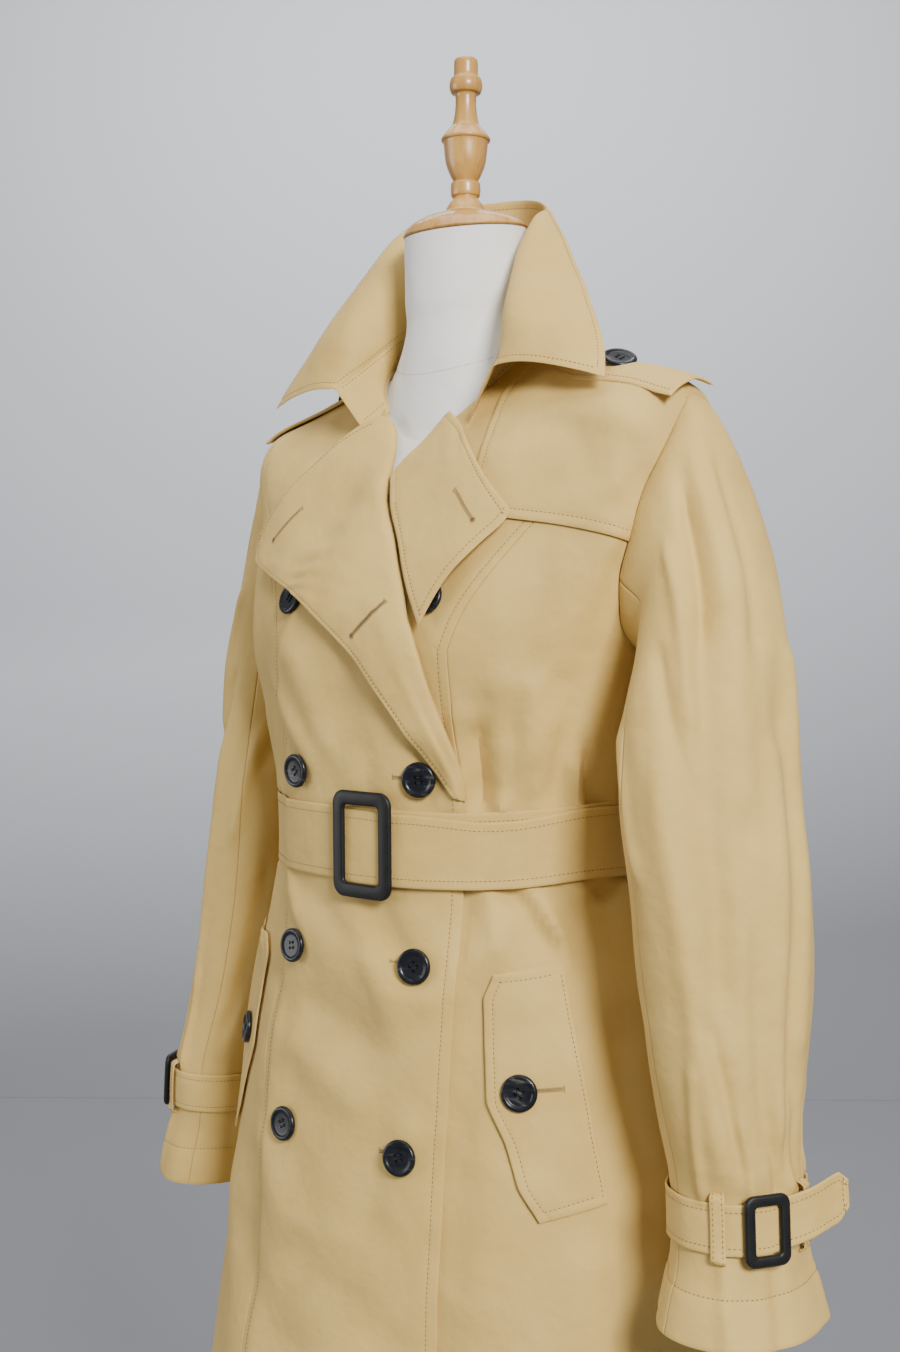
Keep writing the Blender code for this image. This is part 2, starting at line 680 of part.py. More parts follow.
def front_edge_places(table):
    """Places of the left front's edge: the lap, the roll line, then the neckline."""
    places = []
    for level in LOW_LEVELS:
        height = smooth_row(HOOPS, level)[0]
        places.append((angle_at(-keyed_value(table, height), level), level))
    first = smooth_row(HOOPS, LOW_LEVELS[-1])[0]
    top = table[-1][0]
    roll_rows = ARMHOLE_STEPS - 2
    for row in range(1, roll_rows + 1):
        height = first + (top - first) * row / roll_rows
        places.append(front_place(-keyed_value(table, height), height))
    corner, level = places[-1]
    places.append(((corner + 90) / 2, (level + NECK_LEVEL) / 2))
    places.append((90.0, NECK_LEVEL))
    return places


def princess_places():
    """Places of a princess seam, from the hem to the shoulder seam."""
    places = []
    for level in LOW_LEVELS:
        height = smooth_row(HOOPS, level)[0]
        places.append((angle_at(keyed_value(PRINCESS, height), level), level))
    first_angle, first_level = places[-1]
    for row in range(1, ARMHOLE_STEPS + 1):
        share = row / ARMHOLE_STEPS
        places.append((first_angle + (90 - first_angle) * share ** PRINCESS_BEND,
                       first_level + (PRINCESS_TOP_LEVEL - first_level) * share))
    return places


def armhole_place(turn):
    """A place on the armhole: turn 0 is its front, 90 the shoulder tip, 180 its back."""
    cosine = math.cos(math.radians(turn))
    reach = ARMHOLE_FRONT if cosine > 0 else ARMHOLE_BACK
    middle = (TIP_LEVEL + UNDERARM_LEVEL) / 2
    half = (TIP_LEVEL - UNDERARM_LEVEL) / 2
    return 90 - reach * cosine, middle + half * math.sin(math.radians(turn))


def armhole_places(first, last):
    step = (last - first) / ARMHOLE_STEPS
    return [armhole_place(first + step * index) for index in range(ARMHOLE_STEPS + 1)]


def side_seam_places():
    return [(90.0, level) for level in LOW_LEVELS[:-1]]


def shoulder_seam_places(count):
    run = NECK_LEVEL - TIP_LEVEL
    return [(90.0, TIP_LEVEL + run * row / count) for row in range(1, count + 1)]


def centre_back_places():
    rows = ARMHOLE_STEPS + SHOULDER_STEPS
    run = NECK_LEVEL - UNDERARM_LEVEL
    places = [(180.0, level) for level in LOW_LEVELS]
    return places + [(180.0, UNDERARM_LEVEL + run * row / rows) for row in range(1, rows + 1)]


def no_lift(_angle, _level):
    return 0.0


def right_front_lift(angle, level):
    """The overlapping front lies over the underlap, and meets its princess seam."""
    point = hoop_point(angle, level)
    across = keyed_value(UNDERLAP, point[2])
    over = ease((point[0] + across + LAP_START) / LAP_RUN)
    return LAP * over * (1 - ease((point[2] - V_HEIGHT) / LAP_TOP_RUN))


def make_body(cloth):
    princess = princess_places()
    side_front = side_seam_places() + armhole_places(-90, 90)
    side_back = side_seam_places() + armhole_places(270, 90) + shoulder_seam_places(SHOULDER_STEPS)
    centre_back = centre_back_places()
    panel("left_front", front_edge_places(UNDERLAP), princess, 6, cloth, no_lift)
    panel("right_front", mirrored(princess), mirrored(front_edge_places(OVERLAP)), 7, cloth,
          right_front_lift)
    for side in ("left", "right"):
        panel(side + "_side_front", own_side(princess, side), own_side(side_front, side), 5,
              cloth, no_lift)
        panel(side + "_back", own_side(side_back, side),
              [(math.copysign(angle, side_back[0][0] if side == "left" else -1), level)
               for angle, level in centre_back], 7, cloth, no_lift)


# What lies on the body

def lapel_lift(distance, height, share, clearance):
    """The lapel's height over its front: a crown, lower at the edge and near the V."""
    crown = LAPEL_CROWN + (LAPEL_EDGE - LAPEL_CROWN) * share ** 2
    return LAP + (crown - LAP) * clearance(distance, height)


def lapel(side, rows, row_count, material, base_lift, clearance):
    """A turned back facing, from its curl at the roll line to its outer edge."""
    sign = 1 if side == "left" else -1
    middle_points = []
    for index in range(row_count):
        roll, mid_out, mid_height, edge_out, edge_height = smooth_row(
            rows, (len(rows) - 1) * index / (row_count - 1))
        start = np.array((-keyed_value(OVERLAP, roll), roll))
        middle = np.array((mid_out, mid_height))
        edge = np.array((edge_out, edge_height))
        direction = (middle - start) / np.linalg.norm(middle - start)
        reach = np.linalg.norm(edge - start)
        grow = min(reach / CURL_REACH, 1.0)
        stations = []
        for across, lift in CURL:
            stations.append((start + direction * across * (grow if across > 0 else 1), lift, 0.0))
        for share in LAPEL_SHARES:
            spot = ((1 - share) ** 2 * start + 2 * share * (1 - share) * middle
                    + share ** 2 * edge)
            stations.append((spot, None, share))
        line = []
        for spot, lift, share in stations:
            place = front_place(sign * spot[0], spot[1])
            if lift is None:
                lift = lapel_lift(spot[0], spot[1], share, clearance)
            else:
                lift *= CURL_LOW + (1 - CURL_LOW) * clearance(spot[0], spot[1])
            line.append(body_point(*place, base_lift(*place) + lift))
        middle_points.append(line)
    return wall(side + "_lapel", np.array(middle_points), material)


def always_clear(_distance, _height):
    return 1.0


def clear_of_right_front(distance, height):
    """Low by the right front's roll line, 1 away from it, for the left lapel."""
    return ease((distance - keyed_value(OVERLAP, height) + CLEAR_START) / CLEAR_RUN)


def make_lapels(cloth):
    lapel("left", LEFT_LAPEL, 7, cloth, no_lift, clear_of_right_front)
    lapel("right", RIGHT_LAPEL, 14, cloth, right_front_lift, always_clear)


def make_gun_flap(cloth):
    """A single layer over the left chest, caught in the shoulder and the armhole seams."""
    front = [front_place(*spot) for spot in FLAP_FRONT]
    front += [((front[-1][0] + 90) / 2, FLAP_TOP_LEVELS[0]), (90.0, FLAP_TOP_LEVELS[1])]
    turns = [FLAP_START_TURN + (90 - FLAP_START_TURN) * row / FLAP_ROWS
             for row in range(FLAP_ROWS + 1)]
    armhole = [armhole_place(turn) for turn in turns]
    short = [(angle - FLAP_SHORT_TURN * math.cos(math.radians(turn)), level)
             for (angle, level), turn in zip(armhole, turns)]
    panel("gun_flap", front, short, 8, cloth, lambda _angle, _level: FLAP_LIFT)


def collar_table():
    """The collar's ribs all round, from the left front end to the right one."""
    left = np.array(COLLAR)
    right = left[-2::-1] * (-1, -1, 1, 1, -1, 1, 1, -1, 1, 1)
    last = len(COLLAR) - 1
    for row, rib in enumerate(right):
        rib[0] += 360
        rib[7:] += np.array(RIGHT_OPENING) * math.sin(math.pi * (row + 1) / last)
    right[-1][9] += RIGHT_TIP_RISE
    return np.concatenate((left, right))


def collar_foot(place, angle, last):
    """A rib's foot on the neckline, or between the neckline's end and the gorge's corner."""
    ends = ((place, COLLAR[0][0], 1), (last - place, -COLLAR[0][0], -1))
    for beyond, end_angle, sign in ends:
        if beyond < 1:
            corner = np.array(GORGE_CORNER) * (sign, 1, 1)
            return corner + (hoop_point(end_angle, NECK_LEVEL) - corner) * beyond
    return hoop_point(angle, NECK_LEVEL)


def collar_grids(columns, stand_rows, leaf_rows):
    """Rows of points of the stand and of the leaf, which stay one seam apart."""
    table = collar_table()
    last = len(table) - 1
    stand = []
    leaf = []
    for column in range(columns + 1):
        place = last * column / columns
        rib = smooth_row(table, place)
        foot, seam, roll, edge = collar_foot(place, rib[0], last), rib[1:4], rib[4:7], rib[7:]
        first = STAND_START / np.linalg.norm(seam - foot)
        shares = [first + (1 - first) * row / (stand_rows - 1) for row in range(stand_rows)]
        stand.append([foot + (seam - foot) * share for share in shares])
        apart = LEAF_START / (2 * np.linalg.norm(roll - seam))
        shares = [apart + (1 - apart) * row / (leaf_rows - 1) for row in range(leaf_rows)]
        leaf.append([(1 - share) ** 2 * seam + 2 * share * (1 - share) * roll + share ** 2 * edge
                     for share in shares])
    return np.array(stand).transpose(1, 0, 2), np.array(leaf).transpose(1, 0, 2)


def make_collar(cloth):
    stand, leaf = collar_grids(COLLAR_COLUMN_COUNT, STAND_ROWS, LEAF_ROWS)
    wall("collar_stand", stand, cloth)
    wall("collar", leaf, cloth, COLLAR_WALL)


def shoulder_point(side, out, fore, lift):
    """A point over a shoulder, at a distance out and a depth."""
    angle, level = shoulder_place(out, fore)
    angle = angle if side == "left" else -angle
    return body_point(angle, level, lift - EPAULETTE_DROPS[side]), hoop_normal(angle, level)


def make_epaulettes(cloth, horn):
    for side, middle in EPAULETTE_MIDDLES.items():
        outer = []
        inner = []
        for out, half_width, lift in EPAULETTE:
            spots = [middle + half_width * share for share in EPAULETTE_SHARES]
            half = EPAULETTE_WALL / 2
            outer.append([shoulder_point(side, out, y, lift + half)[0] for y in spots])
            inner.append([shoulder_point(side, out, y, lift - half)[0] for y in spots])
        wall_from(side + "_epaulette", np.array(outer), np.array(inner), cloth)
        place = EPAULETTE_BUTTONS[side]
        lift = keyed_value([(-row[0], row[2]) for row in EPAULETTE], -place)
        point, normal = shoulder_point(
            side, place, middle, lift + EPAULETTE_WALL / 2 + BUTTON_SHANK)
        lean = np.array(BUTTON_LEAN) * (1 if side == "left" else -1, 1, 1)
        button(side + "_epaulette_button", point, normal + lean, LEANING_SHANK, horn)


def seated(place, lift):
    """A button's point, direction and shank, clear of the folded cloth round its rim."""
    normal = hoop_normal(*place)
    middle = body_point(*place, lift(*place))
    degree = math.degrees(BUTTON_RADIUS / np.linalg.norm(middle[:2]))
    level_step = level_at(middle[2] + BUTTON_RADIUS) - level_at(middle[2])
    rise = 0.0
    for step in range(BUTTON_SPOTS):
        turn = math.radians(360 * step / BUTTON_SPOTS)
        rim_place = (place[0] + degree * math.cos(turn), place[1] + level_step * math.sin(turn))
        rim = body_point(*rim_place, lift(*rim_place))
        rise = max(rise, float(np.dot(rim - middle, normal)))
    shank = rise + BUTTON_SEAT - SHANK_GAP
    return middle + normal * (rise + WALL / 2 + BUTTON_SEAT), normal, shank


def button(name, point, normal, shank, material):
    """A rimmed button with a sewing shank that reaches down to its cloth."""
    profile = [(radius * BUTTON_RADIUS, height * BUTTON_HEIGHT) for radius, height in BUTTON_PROFILE]
    neck = BUTTON_SHANK_RADIUS * BUTTON_RADIUS
    profile += [(neck, 0.0), (neck, -shank), (0.0, -shank)]
    stand_on(turned(name, profile, material, 16), point, normal)


def make_front_buttons(horn):
    for row, height in enumerate(BUTTON_ROWS):
        reach = BUTTON_REACH if row else BUTTON_TOP_REACH
        for side, sign in (("left", 1), ("right", -1)):
            place = front_place(BUTTON_SHIFT * bool(row) + sign * reach, height)
            on_lap = side == "right" or row
            lift = right_front_lift if on_lap else no_lift
            button(f"{side}_button_{row + 1}", *seated(place, lift), horn)


def pocket_lift(angle, _level):
    return POCKET_LIFTS["left" if angle > 0 else "right"]


def make_pockets(cloth, horn):
    for side, sign in (("left", 1), ("right", -1)):
        left = [front_place(row[0], row[1]) for row in POCKET]
        right = [front_place(row[2], row[3]) for row in POCKET]
        panel(side + "_pocket", own_side(left, side), own_side(right, side), 4, cloth,
              pocket_lift)
        place = front_place(sign * POCKET_BUTTON[0], POCKET_BUTTON[1])
        button(side + "_pocket_button", *seated(place, pocket_lift), horn)


# The belt

def belt_point(angle, level, lift):
    """A point over the belt's line, raised over the overlapping front."""
    point = hoop_point(angle, level)
    rise = 0.0
    if abs((angle + 180) % 360 - 180) < 90:
        beyond = (point[0] - keyed_value(OVERLAP, point[2]) - BELT_STEP_START) / BELT_STEP_RUN
        rise = right_front_lift(angle, level) * (1 - ease(beyond))
    return body_point(angle, level, lift + rise)


def belt_grid(angles, middle, lift):
    """Rows of points of a belt layer, from its lower to its upper edge."""
    levels = [level_at(middle + BELT_HEIGHT * share) for share in (-0.5, 0.0, 0.5)]
    return np.array([[belt_point(angle, level, lift) for angle in angles] for level in levels])


def make_belt(cloth, leather):
    ring = [360 * step / BELT_STEPS for step in range(BELT_STEPS)]
    wall_from("belt", belt_grid(ring, BELT_MIDDLE, BELT_LIFT + WALL / 2),
              belt_grid(ring, BELT_MIDDLE, BELT_LIFT - WALL / 2), cloth, closed=True)
    start_distance = BELT_BUCKLE[0] - BELT_BUCKLE_SIZE[0] / 2 + BELT_END_START
    first = angle_at(start_distance, BELT_LEVEL)
    angles = [first + (BELT_END_ANGLE - first) * step / BELT_END_STEPS
              for step in range(BELT_END_STEPS + 1)]
    middle = BELT_MIDDLE - BELT_END_DROP
    tail_lift = BELT_LIFT + BELT_LAYER
    wall_from("belt_tail", belt_grid(angles, middle, tail_lift + WALL / 2),
              belt_grid(angles, middle, tail_lift - WALL / 2), cloth)
    place = front_place(*BELT_BUCKLE)
    made = frame("belt_buckle", BELT_BUCKLE_SIZE, BELT_BUCKLE_BAR, leather)
    out = tail_lift + WALL / 2 + SEAM + BELT_BUCKLE_SIZE[2] / 2 + BELT_BUCKLE_SEAT
    stand_on(made, belt_point(*place, out), hoop_normal(*place))


# The sleeves

def armhole_point(turn, side):
    angle, level = armhole_place(turn)
    if side == "left":
        return body_point(angle, level)
    return body_point(-angle, level) * (-1, 1, 1)


def sleeve_ring_point(turn, ring, side):
    """A point of a sleeve ring, with the body's side of the sleeve toward the centre."""
    height, out, fore, half_out, half_fore, lean = smooth_row(SLEEVES[side], ring)
    across = half_out * math.sin(math.radians(turn))
    slope = math.radians(lean)
    return np.array((out + across * math.cos(slope),
                     fore - half_fore * math.cos(math.radians(turn)),
                     height + across * math.sin(slope)))


def sleeve_base_point(turn, ring, side):
    """A sleeve point with no folds. Rings -1 to 0 are the head, from the armhole."""
    if ring >= 0:
        return sleeve_ring_point(turn, ring, side)
    share = ring + 1
    cosine = math.cos(math.radians(turn))
    sine = math.sin(math.radians(turn))
    leave = np.array(HEAD_WAY) * (1, cosine, 1)
    leave = leave / np.linalg.norm(leave)
    gap = UNDERARM_SEAM + (SLEEVE_SEAM - UNDERARM_SEAM) * ease(sine)
    first = armhole_point(turn, side) + leave * gap
    last = sleeve_ring_point(turn, 0.0, side)
    down = sleeve_ring_point(turn, 0.5, side) - last
    span = float(np.linalg.norm(last - first)) * SLEEVE_HEAD
    down = down * span / np.linalg.norm(down)
    square = share * share
    cube = square * share
    return (first * (2 * cube - 3 * square + 1) + leave * span * (cube - 2 * square + share)
            + last * (3 * square - 2 * cube) + down * (cube - square))


def sleeve_normal(turn, ring, side):
    first = max(ring - RING_STEP, -1.0)
    last = min(ring + RING_STEP, len(SLEEVES[side]) - 1.0)
    along = sleeve_base_point(turn + 1, ring, side) - sleeve_base_point(turn - 1, ring, side)
    downward = sleeve_base_point(turn, last, side) - sleeve_base_point(turn, first, side)
    normal = np.cross(downward, along)
    return normal / np.linalg.norm(normal)


def sleeve_point(turn, ring, side, out=0.0):
    """A point moved out from the sleeve's folded cloth, on its own side of the body."""
    base = sleeve_base_point(turn, ring, side)
    strap = ease((abs(base[2] - STRAP_MIDDLES[side]) - STRAP_HEIGHT / 2) / FOLD_FADE)
    lift = fold_lift(SLEEVE_FOLDS, turn, base[2], SLEEVE_DEGREE) * strap * ease(ring + 0.8)
    point = base + sleeve_normal(turn, ring, side) * (out + lift)
    return point if side == "left" else point * (-1, 1, 1)


def sleeve_ring_at(height, side):
    table = SLEEVES[side]
    return find_place(0.0, len(table) - 1.0, lambda ring: smooth_row(table, ring)[0] > height)


def make_sleeve_piece(name, side, first, last, material):
    count = round((last - first) / SLEEVE_STEP)
    inset = math.degrees(SEAM / 2 / SLEEVE_RADIUS)
    turns = [first + SLEEVE_STEP * step for step in range(count + 1)]
    turns[0] += inset
    turns[-1] -= inset
    grids = [
        np.array([[sleeve_point(turn, ring, side, shift) for turn in turns] for ring in SLEEVE_ROWS])
        for shift in (WALL / 2, -WALL / 2)]
    wall_from(name, grids[0], grids[1], material)


def strap_place(side, turn, share, lift):
    """A cuff strap's point and outward direction. Share is -0.5 to 0.5, up the strap."""
    ring = sleeve_ring_at(STRAP_MIDDLES[side] + STRAP_HEIGHT * share, side)
    normal = sleeve_normal(turn, ring, side)
    return sleeve_point(turn, ring, side, lift), own_way(normal, side)


def own_way(direction, side):
    return direction if side == "left" else direction * (-1, 1, 1)


def strap_line(side, share, shift):
    """One edge of a cuff strap, from under its tail round to the tail's end."""
    first = STRAP_BUCKLE_TURN + STRAP_START
    last = 360 + STRAP_BUCKLE_TURN + STRAP_LEAVE
    line = []
    for step in range(STRAP_STEPS + 1):
        turn = first + (last - first) * step / STRAP_STEPS
        lift = STRAP_LIFT + STRAP_LAYER * ease((turn - 360 - STRAP_RISE_START) / STRAP_RISE_RUN)
        point, normal = strap_place(side, turn, share, lift)
        line.append(point + normal * shift)
    middle, normal = strap_place(side, last, 0.0, STRAP_LIFT + STRAP_LAYER)
    ahead, _ = strap_place(side, last + 1, 0.0, STRAP_LIFT + STRAP_LAYER)
    way = (ahead - middle) / np.linalg.norm(ahead - middle)
    offset = line[-1] - middle
    for part, narrow in STRAP_TIP:
        rise = np.array((0, 0, STRAP_TAIL_RISE * part))
        flat = offset.copy()
        flat[2] *= narrow
        line.append(middle + flat + way * STRAP_TAIL * part + rise)
    return line


def make_strap(side, cloth):
    grids = [np.array([strap_line(side, share, shift) for share in (-0.5, 0.5)])
             for shift in (WALL / 2, -WALL / 2)]
    wall_from(side + "_cuff_strap", grids[0], grids[1], cloth)


def make_keeper(side, name, turn, cloth):
    """A loop of cloth over the strap, sewn to the sleeve above and below it."""
    half = math.degrees(KEEPER_WIDTH / 2 / SLEEVE_RADIUS)
    reach = STRAP_HEIGHT / 2 + KEEPER_REACH
    foot = reach + KEEPER_WALL
    arch = ((foot, KEEPER_FOOT), (reach, KEEPER_LIFT), (-reach, KEEPER_LIFT), (-foot, KEEPER_FOOT))
    middle = np.array([
        [sleeve_point(turn + half * share, sleeve_ring_at(STRAP_MIDDLES[side] + rise, side), side,
                      lift) for share in (-1, 1)] for rise, lift in arch])
    wall(f"{side}_keeper_{name}", middle, cloth, KEEPER_WALL)


def make_cuff_buckle(side, leather):
    made = frame(side + "_cuff_buckle", CUFF_BUCKLE_SIZE, CUFF_BUCKLE_BAR, leather)
    lift = STRAP_LIFT + STRAP_LAYER + WALL / 2 + CUFF_BUCKLE_SEAT + CUFF_BUCKLE_SIZE[2] / 2
    stand_on(made, *strap_place(side, STRAP_BUCKLE_TURN, 0.0, lift))


def make_sleeves(cloth, leather):
    for side in ("left", "right"):
        make_sleeve_piece(side + "_top_sleeve", side, SLEEVE_FRONT_SEAM, SLEEVE_BACK_SEAM, cloth)
        make_sleeve_piece(side + "_under_sleeve", side, SLEEVE_BACK_SEAM,
                          360 + SLEEVE_FRONT_SEAM, cloth)
        make_strap(side, cloth)
        make_cuff_buckle(side, leather)
        for name, turn in KEEPER_TURNS:
            make_keeper(side, name, turn, cloth)


# The dress form and its stand

def form_ring(level):
    inset = keyed_value(FORM, level)
    angles = [360 * step / FORM_STEPS for step in range(FORM_STEPS)]
    return [hoop_point(angle, level) - hoop_normal(angle, level) * inset for angle in angles]


def tilted_ring(height, radius, middle, tilt):
    """A ring whose front sinks by its tilt."""
    ring = []
    fall = math.radians(tilt)
    for step in range(FORM_STEPS):
        turn = 2 * math.pi * step / FORM_STEPS
        reach = radius * math.cos(turn)
        ring.append((radius * math.sin(turn), middle - reach * math.cos(fall),
                     height - reach * math.sin(fall)))
    return ring


def make_form(jersey, wood, enamel):
    bottom = form_ring(FORM_LEVELS[0])
    floor_z = bottom[0][2] - FORM_FLOOR_DROP
    rings = [[(x * share, y * share, floor_z + rise) for x, y, _ in bottom]
             for share, rise in ((FORM_FLOOR_SHARE, 0), (FORM_EDGE_SHARE, FORM_EDGE_RISE))]
    rings += [form_ring(level) for level in FORM_LEVELS]
    rings += [tilted_ring(*row) for row in NECK]
    loft("form_torso", rings, jersey)
    loft("neck_cap", [tilted_ring(*row) for row in CAP], wood)
    finial = turned("finial", FINIAL, wood, 20)
    finial.location.z = NECK_TOP
    pole_height = floor_z - BASE_HEIGHT - 2 * SEAM
    turned("pole", [(0, pole_height), (POLE_RADIUS, pole_height), (POLE_RADIUS, 0), (0, 0)],
           enamel, 20).location.z = BASE_HEIGHT + SEAM
    turned("base", [(radius * BASE_RADIUS, height * BASE_HEIGHT) for radius, height in BASE_PROFILE],
           enamel, 48)


def start():
    for leftover in list(bpy.data.objects):
        bpy.data.objects.remove(leftover, do_unlink=True)
    collection = bpy.data.collections.new("trench_coat")
    bpy.context.scene.collection.children.link(collection)


def main():
    start()
    cloth, horn, leather, jersey, wood, enamel = (
        new_material(*row) for row in (COTTON, HORN, LEATHER, JERSEY, WOOD, ENAMEL))
    make_body(cloth)
    make_lapels(cloth)
    make_gun_flap(cloth)
    make_collar(cloth)
    make_epaulettes(cloth, horn)
    make_front_buttons(horn)
    make_pockets(cloth, horn)
    make_belt(cloth, leather)
    make_sleeves(cloth, leather)
    make_form(jersey, wood, enamel)


main()
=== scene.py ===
"""The looks of a belted trench coat on a dress form, in the frame of its solids.

Metres, +Z up, the coat's front towards -Y and its wearer's left towards +X. Every cloth
piece is worked out again, finer, from the same sizes as its solid.
"""
import math

import bmesh
import bpy
import numpy as np
from mathutils import Matrix, Quaternion, Vector


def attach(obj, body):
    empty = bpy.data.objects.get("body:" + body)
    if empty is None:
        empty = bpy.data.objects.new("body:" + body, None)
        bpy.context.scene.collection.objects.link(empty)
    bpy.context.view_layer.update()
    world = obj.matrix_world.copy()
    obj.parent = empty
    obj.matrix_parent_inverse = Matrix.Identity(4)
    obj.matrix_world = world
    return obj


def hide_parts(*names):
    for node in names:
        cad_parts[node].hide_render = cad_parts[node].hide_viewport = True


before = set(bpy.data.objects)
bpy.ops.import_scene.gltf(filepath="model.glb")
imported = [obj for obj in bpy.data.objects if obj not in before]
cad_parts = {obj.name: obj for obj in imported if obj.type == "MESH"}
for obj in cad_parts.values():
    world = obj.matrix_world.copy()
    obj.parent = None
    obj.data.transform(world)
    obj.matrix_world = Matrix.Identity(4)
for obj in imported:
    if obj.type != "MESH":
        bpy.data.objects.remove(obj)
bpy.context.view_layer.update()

# Driving dimensions, in metres
SEAM = 0.0003
CLOTH_SLOT = "cotton_gabardine"
LAP = 0.0034
# Over how much of the front the overlap rises onto the underlap, and sinks above the V
LAP_START = 0.020
LAP_RUN = 0.015
LAP_TOP_RUN = 0.030
FLAP_LIFT = 0.0036
POCKET_LIFTS = {"left": 0.0032, "right": 0.0027}
UNDERARM_SEAM = 0.0020
BUTTON_RADIUS = 0.0122
BUTTON_ROWS = (1.2235, 1.1020, 0.9755, 0.8490)
BUTTON_TOP_REACH = 0.0665
BUTTON_REACH = 0.0580
BUTTON_SHIFT = 0.0035
BELT_HEIGHT = 0.0515
BELT_MIDDLE = 1.0545
BELT_LIFT = 0.0028
BELT_LAYER = 0.0024
BELT_END_ANGLE = 104.0
BELT_END_DROP = 0.0012
BELT_END_START = 0.004
BELT_LEVEL = 5.5
BELT_BUCKLE_BAR = 0.0100
# Folds fade out toward a belt or a strap, and the belt steps down past the overlap's edge
FOLD_FADE = 0.020
BELT_STEP_START = 0.002
BELT_STEP_RUN = 0.020
BELT_BUCKLE = (0.0193, 1.0555)
BELT_BUCKLE_SIZE = (0.0515, 0.0740, 0.0048)
CUFF_BUCKLE_SIZE = (0.0310, 0.0430, 0.0042)
CUFF_BUCKLE_BAR = 0.0068
STRAP_HEIGHT = 0.031
STRAP_MIDDLES = {"left": 0.841, "right": 0.822}
STRAP_BUCKLE_TURN = 58.0
STRAP_TAIL = 0.058
STRAP_TAIL_RISE = 0.014
STRAP_LIFT = 0.0027
STRAP_LAYER = 0.0023
STRAP_START = 14.0
STRAP_LEAVE = 4.0
STRAP_RISE_START = 8.0
STRAP_RISE_RUN = 34.0
# The strap's free end: share of the tail's length, and how much of its height is left
STRAP_TIP = ((0.3, 1.0), (0.6, 1.0), (0.88, 1.0), (1.0, 0.55))
SLEEVE_RADIUS = 0.045
KEEPER_TURNS = (("front", 22.0), ("back", 104.0))
KEEPER_WIDTH = 0.0090
KEEPER_WALL = 0.0012
KEEPER_REACH = 0.0042
KEEPER_LIFT = 0.0056
# One leg of a keeper's arch, from the foot up. Columns: beyond its reach, lift.
KEEPER_ARCH = ((0.0016, 0.0010), (0.0010, 0.0026), (-0.0004, 0.0048),
               (-0.0040, KEEPER_LIFT + 0.0002))
KEEPER_TOP = KEEPER_LIFT + 0.0004
NECK_TOP = 1.4965
# How far below its lowest ring the form's underside lies
FORM_FLOOR_DROP = 0.030
POLE_RADIUS = 0.016
BASE_RADIUS = 0.19
BASE_HEIGHT = 0.026

# Hoops of the coat's body, from hem to neck. A hoop is level at the sides (rise) and
# sinks by its drops to the front and the back. Fullness 2 is an ellipse, more is boxier.
# Columns: rise, half width, front, back, middle, front drop, back drop, fullness.
HOOPS = (
    (0.430, 0.254, 0.192, 0.186, 0.000, 0.000, 0.000, 2.00),
    (0.560, 0.234, 0.169, 0.172, 0.000, 0.000, 0.000, 2.00),
    (0.700, 0.213, 0.148, 0.157, 0.000, 0.000, 0.000, 2.05),
    (0.830, 0.198, 0.132, 0.144, 0.000, 0.000, 0.000, 2.10),
    (0.945, 0.174, 0.121, 0.125, 0.000, 0.000, 0.000, 2.15),
    (1.026, 0.149, 0.116, 0.107, 0.000, 0.000, 0.000, 2.15),
    (1.083, 0.149, 0.117, 0.106, 0.000, 0.000, 0.000, 2.15),
    (1.140, 0.160, 0.119, 0.110, 0.000, 0.000, 0.000, 2.25),
    (1.205, 0.175, 0.121, 0.112, 0.002, 0.000, 0.000, 2.45),
    (1.280, 0.188, 0.096, 0.107, 0.004, 0.006, 0.000, 2.60),
    (1.360, 0.201, 0.080, 0.085, 0.006, 0.048, 0.012, 2.30),
    (1.384, 0.136, 0.064, 0.072, 0.005, 0.054, 0.000, 2.10),
    (1.404, 0.071, 0.050, 0.058, 0.002, 0.060, -0.006, 2.00),
)
UNDERARM_LEVEL = 7.75
# The right shoulder lies lower, most at one level
RIGHT_SHOULDER_DROP = 0.008
DROP_LEVEL = 10.4
DROP_SPREAD = 0.9
TIP_LEVEL = 10.0
PRINCESS_TOP_LEVEL = 11.1
NECK_LEVEL = 12.0
PRINCESS_BEND = 1.6
LOW_LEVELS = (0.0, 0.6, 1.2, 1.8, 2.4, 3.0, 3.5, 4.0, 4.5, 5.0, 5.5, 6.0, 6.4, 6.8, 7.2, 7.75)
ARMHOLE_FRONT = 18.0
ARMHOLE_BACK = 22.0
ARMHOLE_STEPS = 8
SHOULDER_STEPS = 3

# How far each front's edge lies across the centre line, up to the neckline
# Columns: height, distance across.
UNDERLAP = (
    (0.400, 0.066), (1.170, 0.066), (1.185, 0.063), (1.208, 0.0525), (1.249, 0.030),
    (1.289, 0.004), (1.354, -0.030),
)
OVERLAP = (
    (0.400, 0.104), (0.560, 0.101), (0.727, 0.095), (0.818, 0.0915), (0.955, 0.090),
    (1.030, 0.088), (1.085, 0.089), (1.109, 0.0865), (1.146, 0.075), (1.185, 0.063),
    (1.208, 0.0525), (1.249, 0.030), (1.289, 0.004), (1.354, -0.030),
)
V_HEIGHT = 1.289

# Princess seams
# Columns: height, distance from the centre line.
PRINCESS = (
    (0.400, 0.092), (0.700, 0.086), (0.850, 0.086), (1.000, 0.085), (1.055, 0.086),
    (1.095, 0.088), (1.156, 0.085), (1.206, 0.088), (1.257, 0.109), (1.290, 0.122),
)

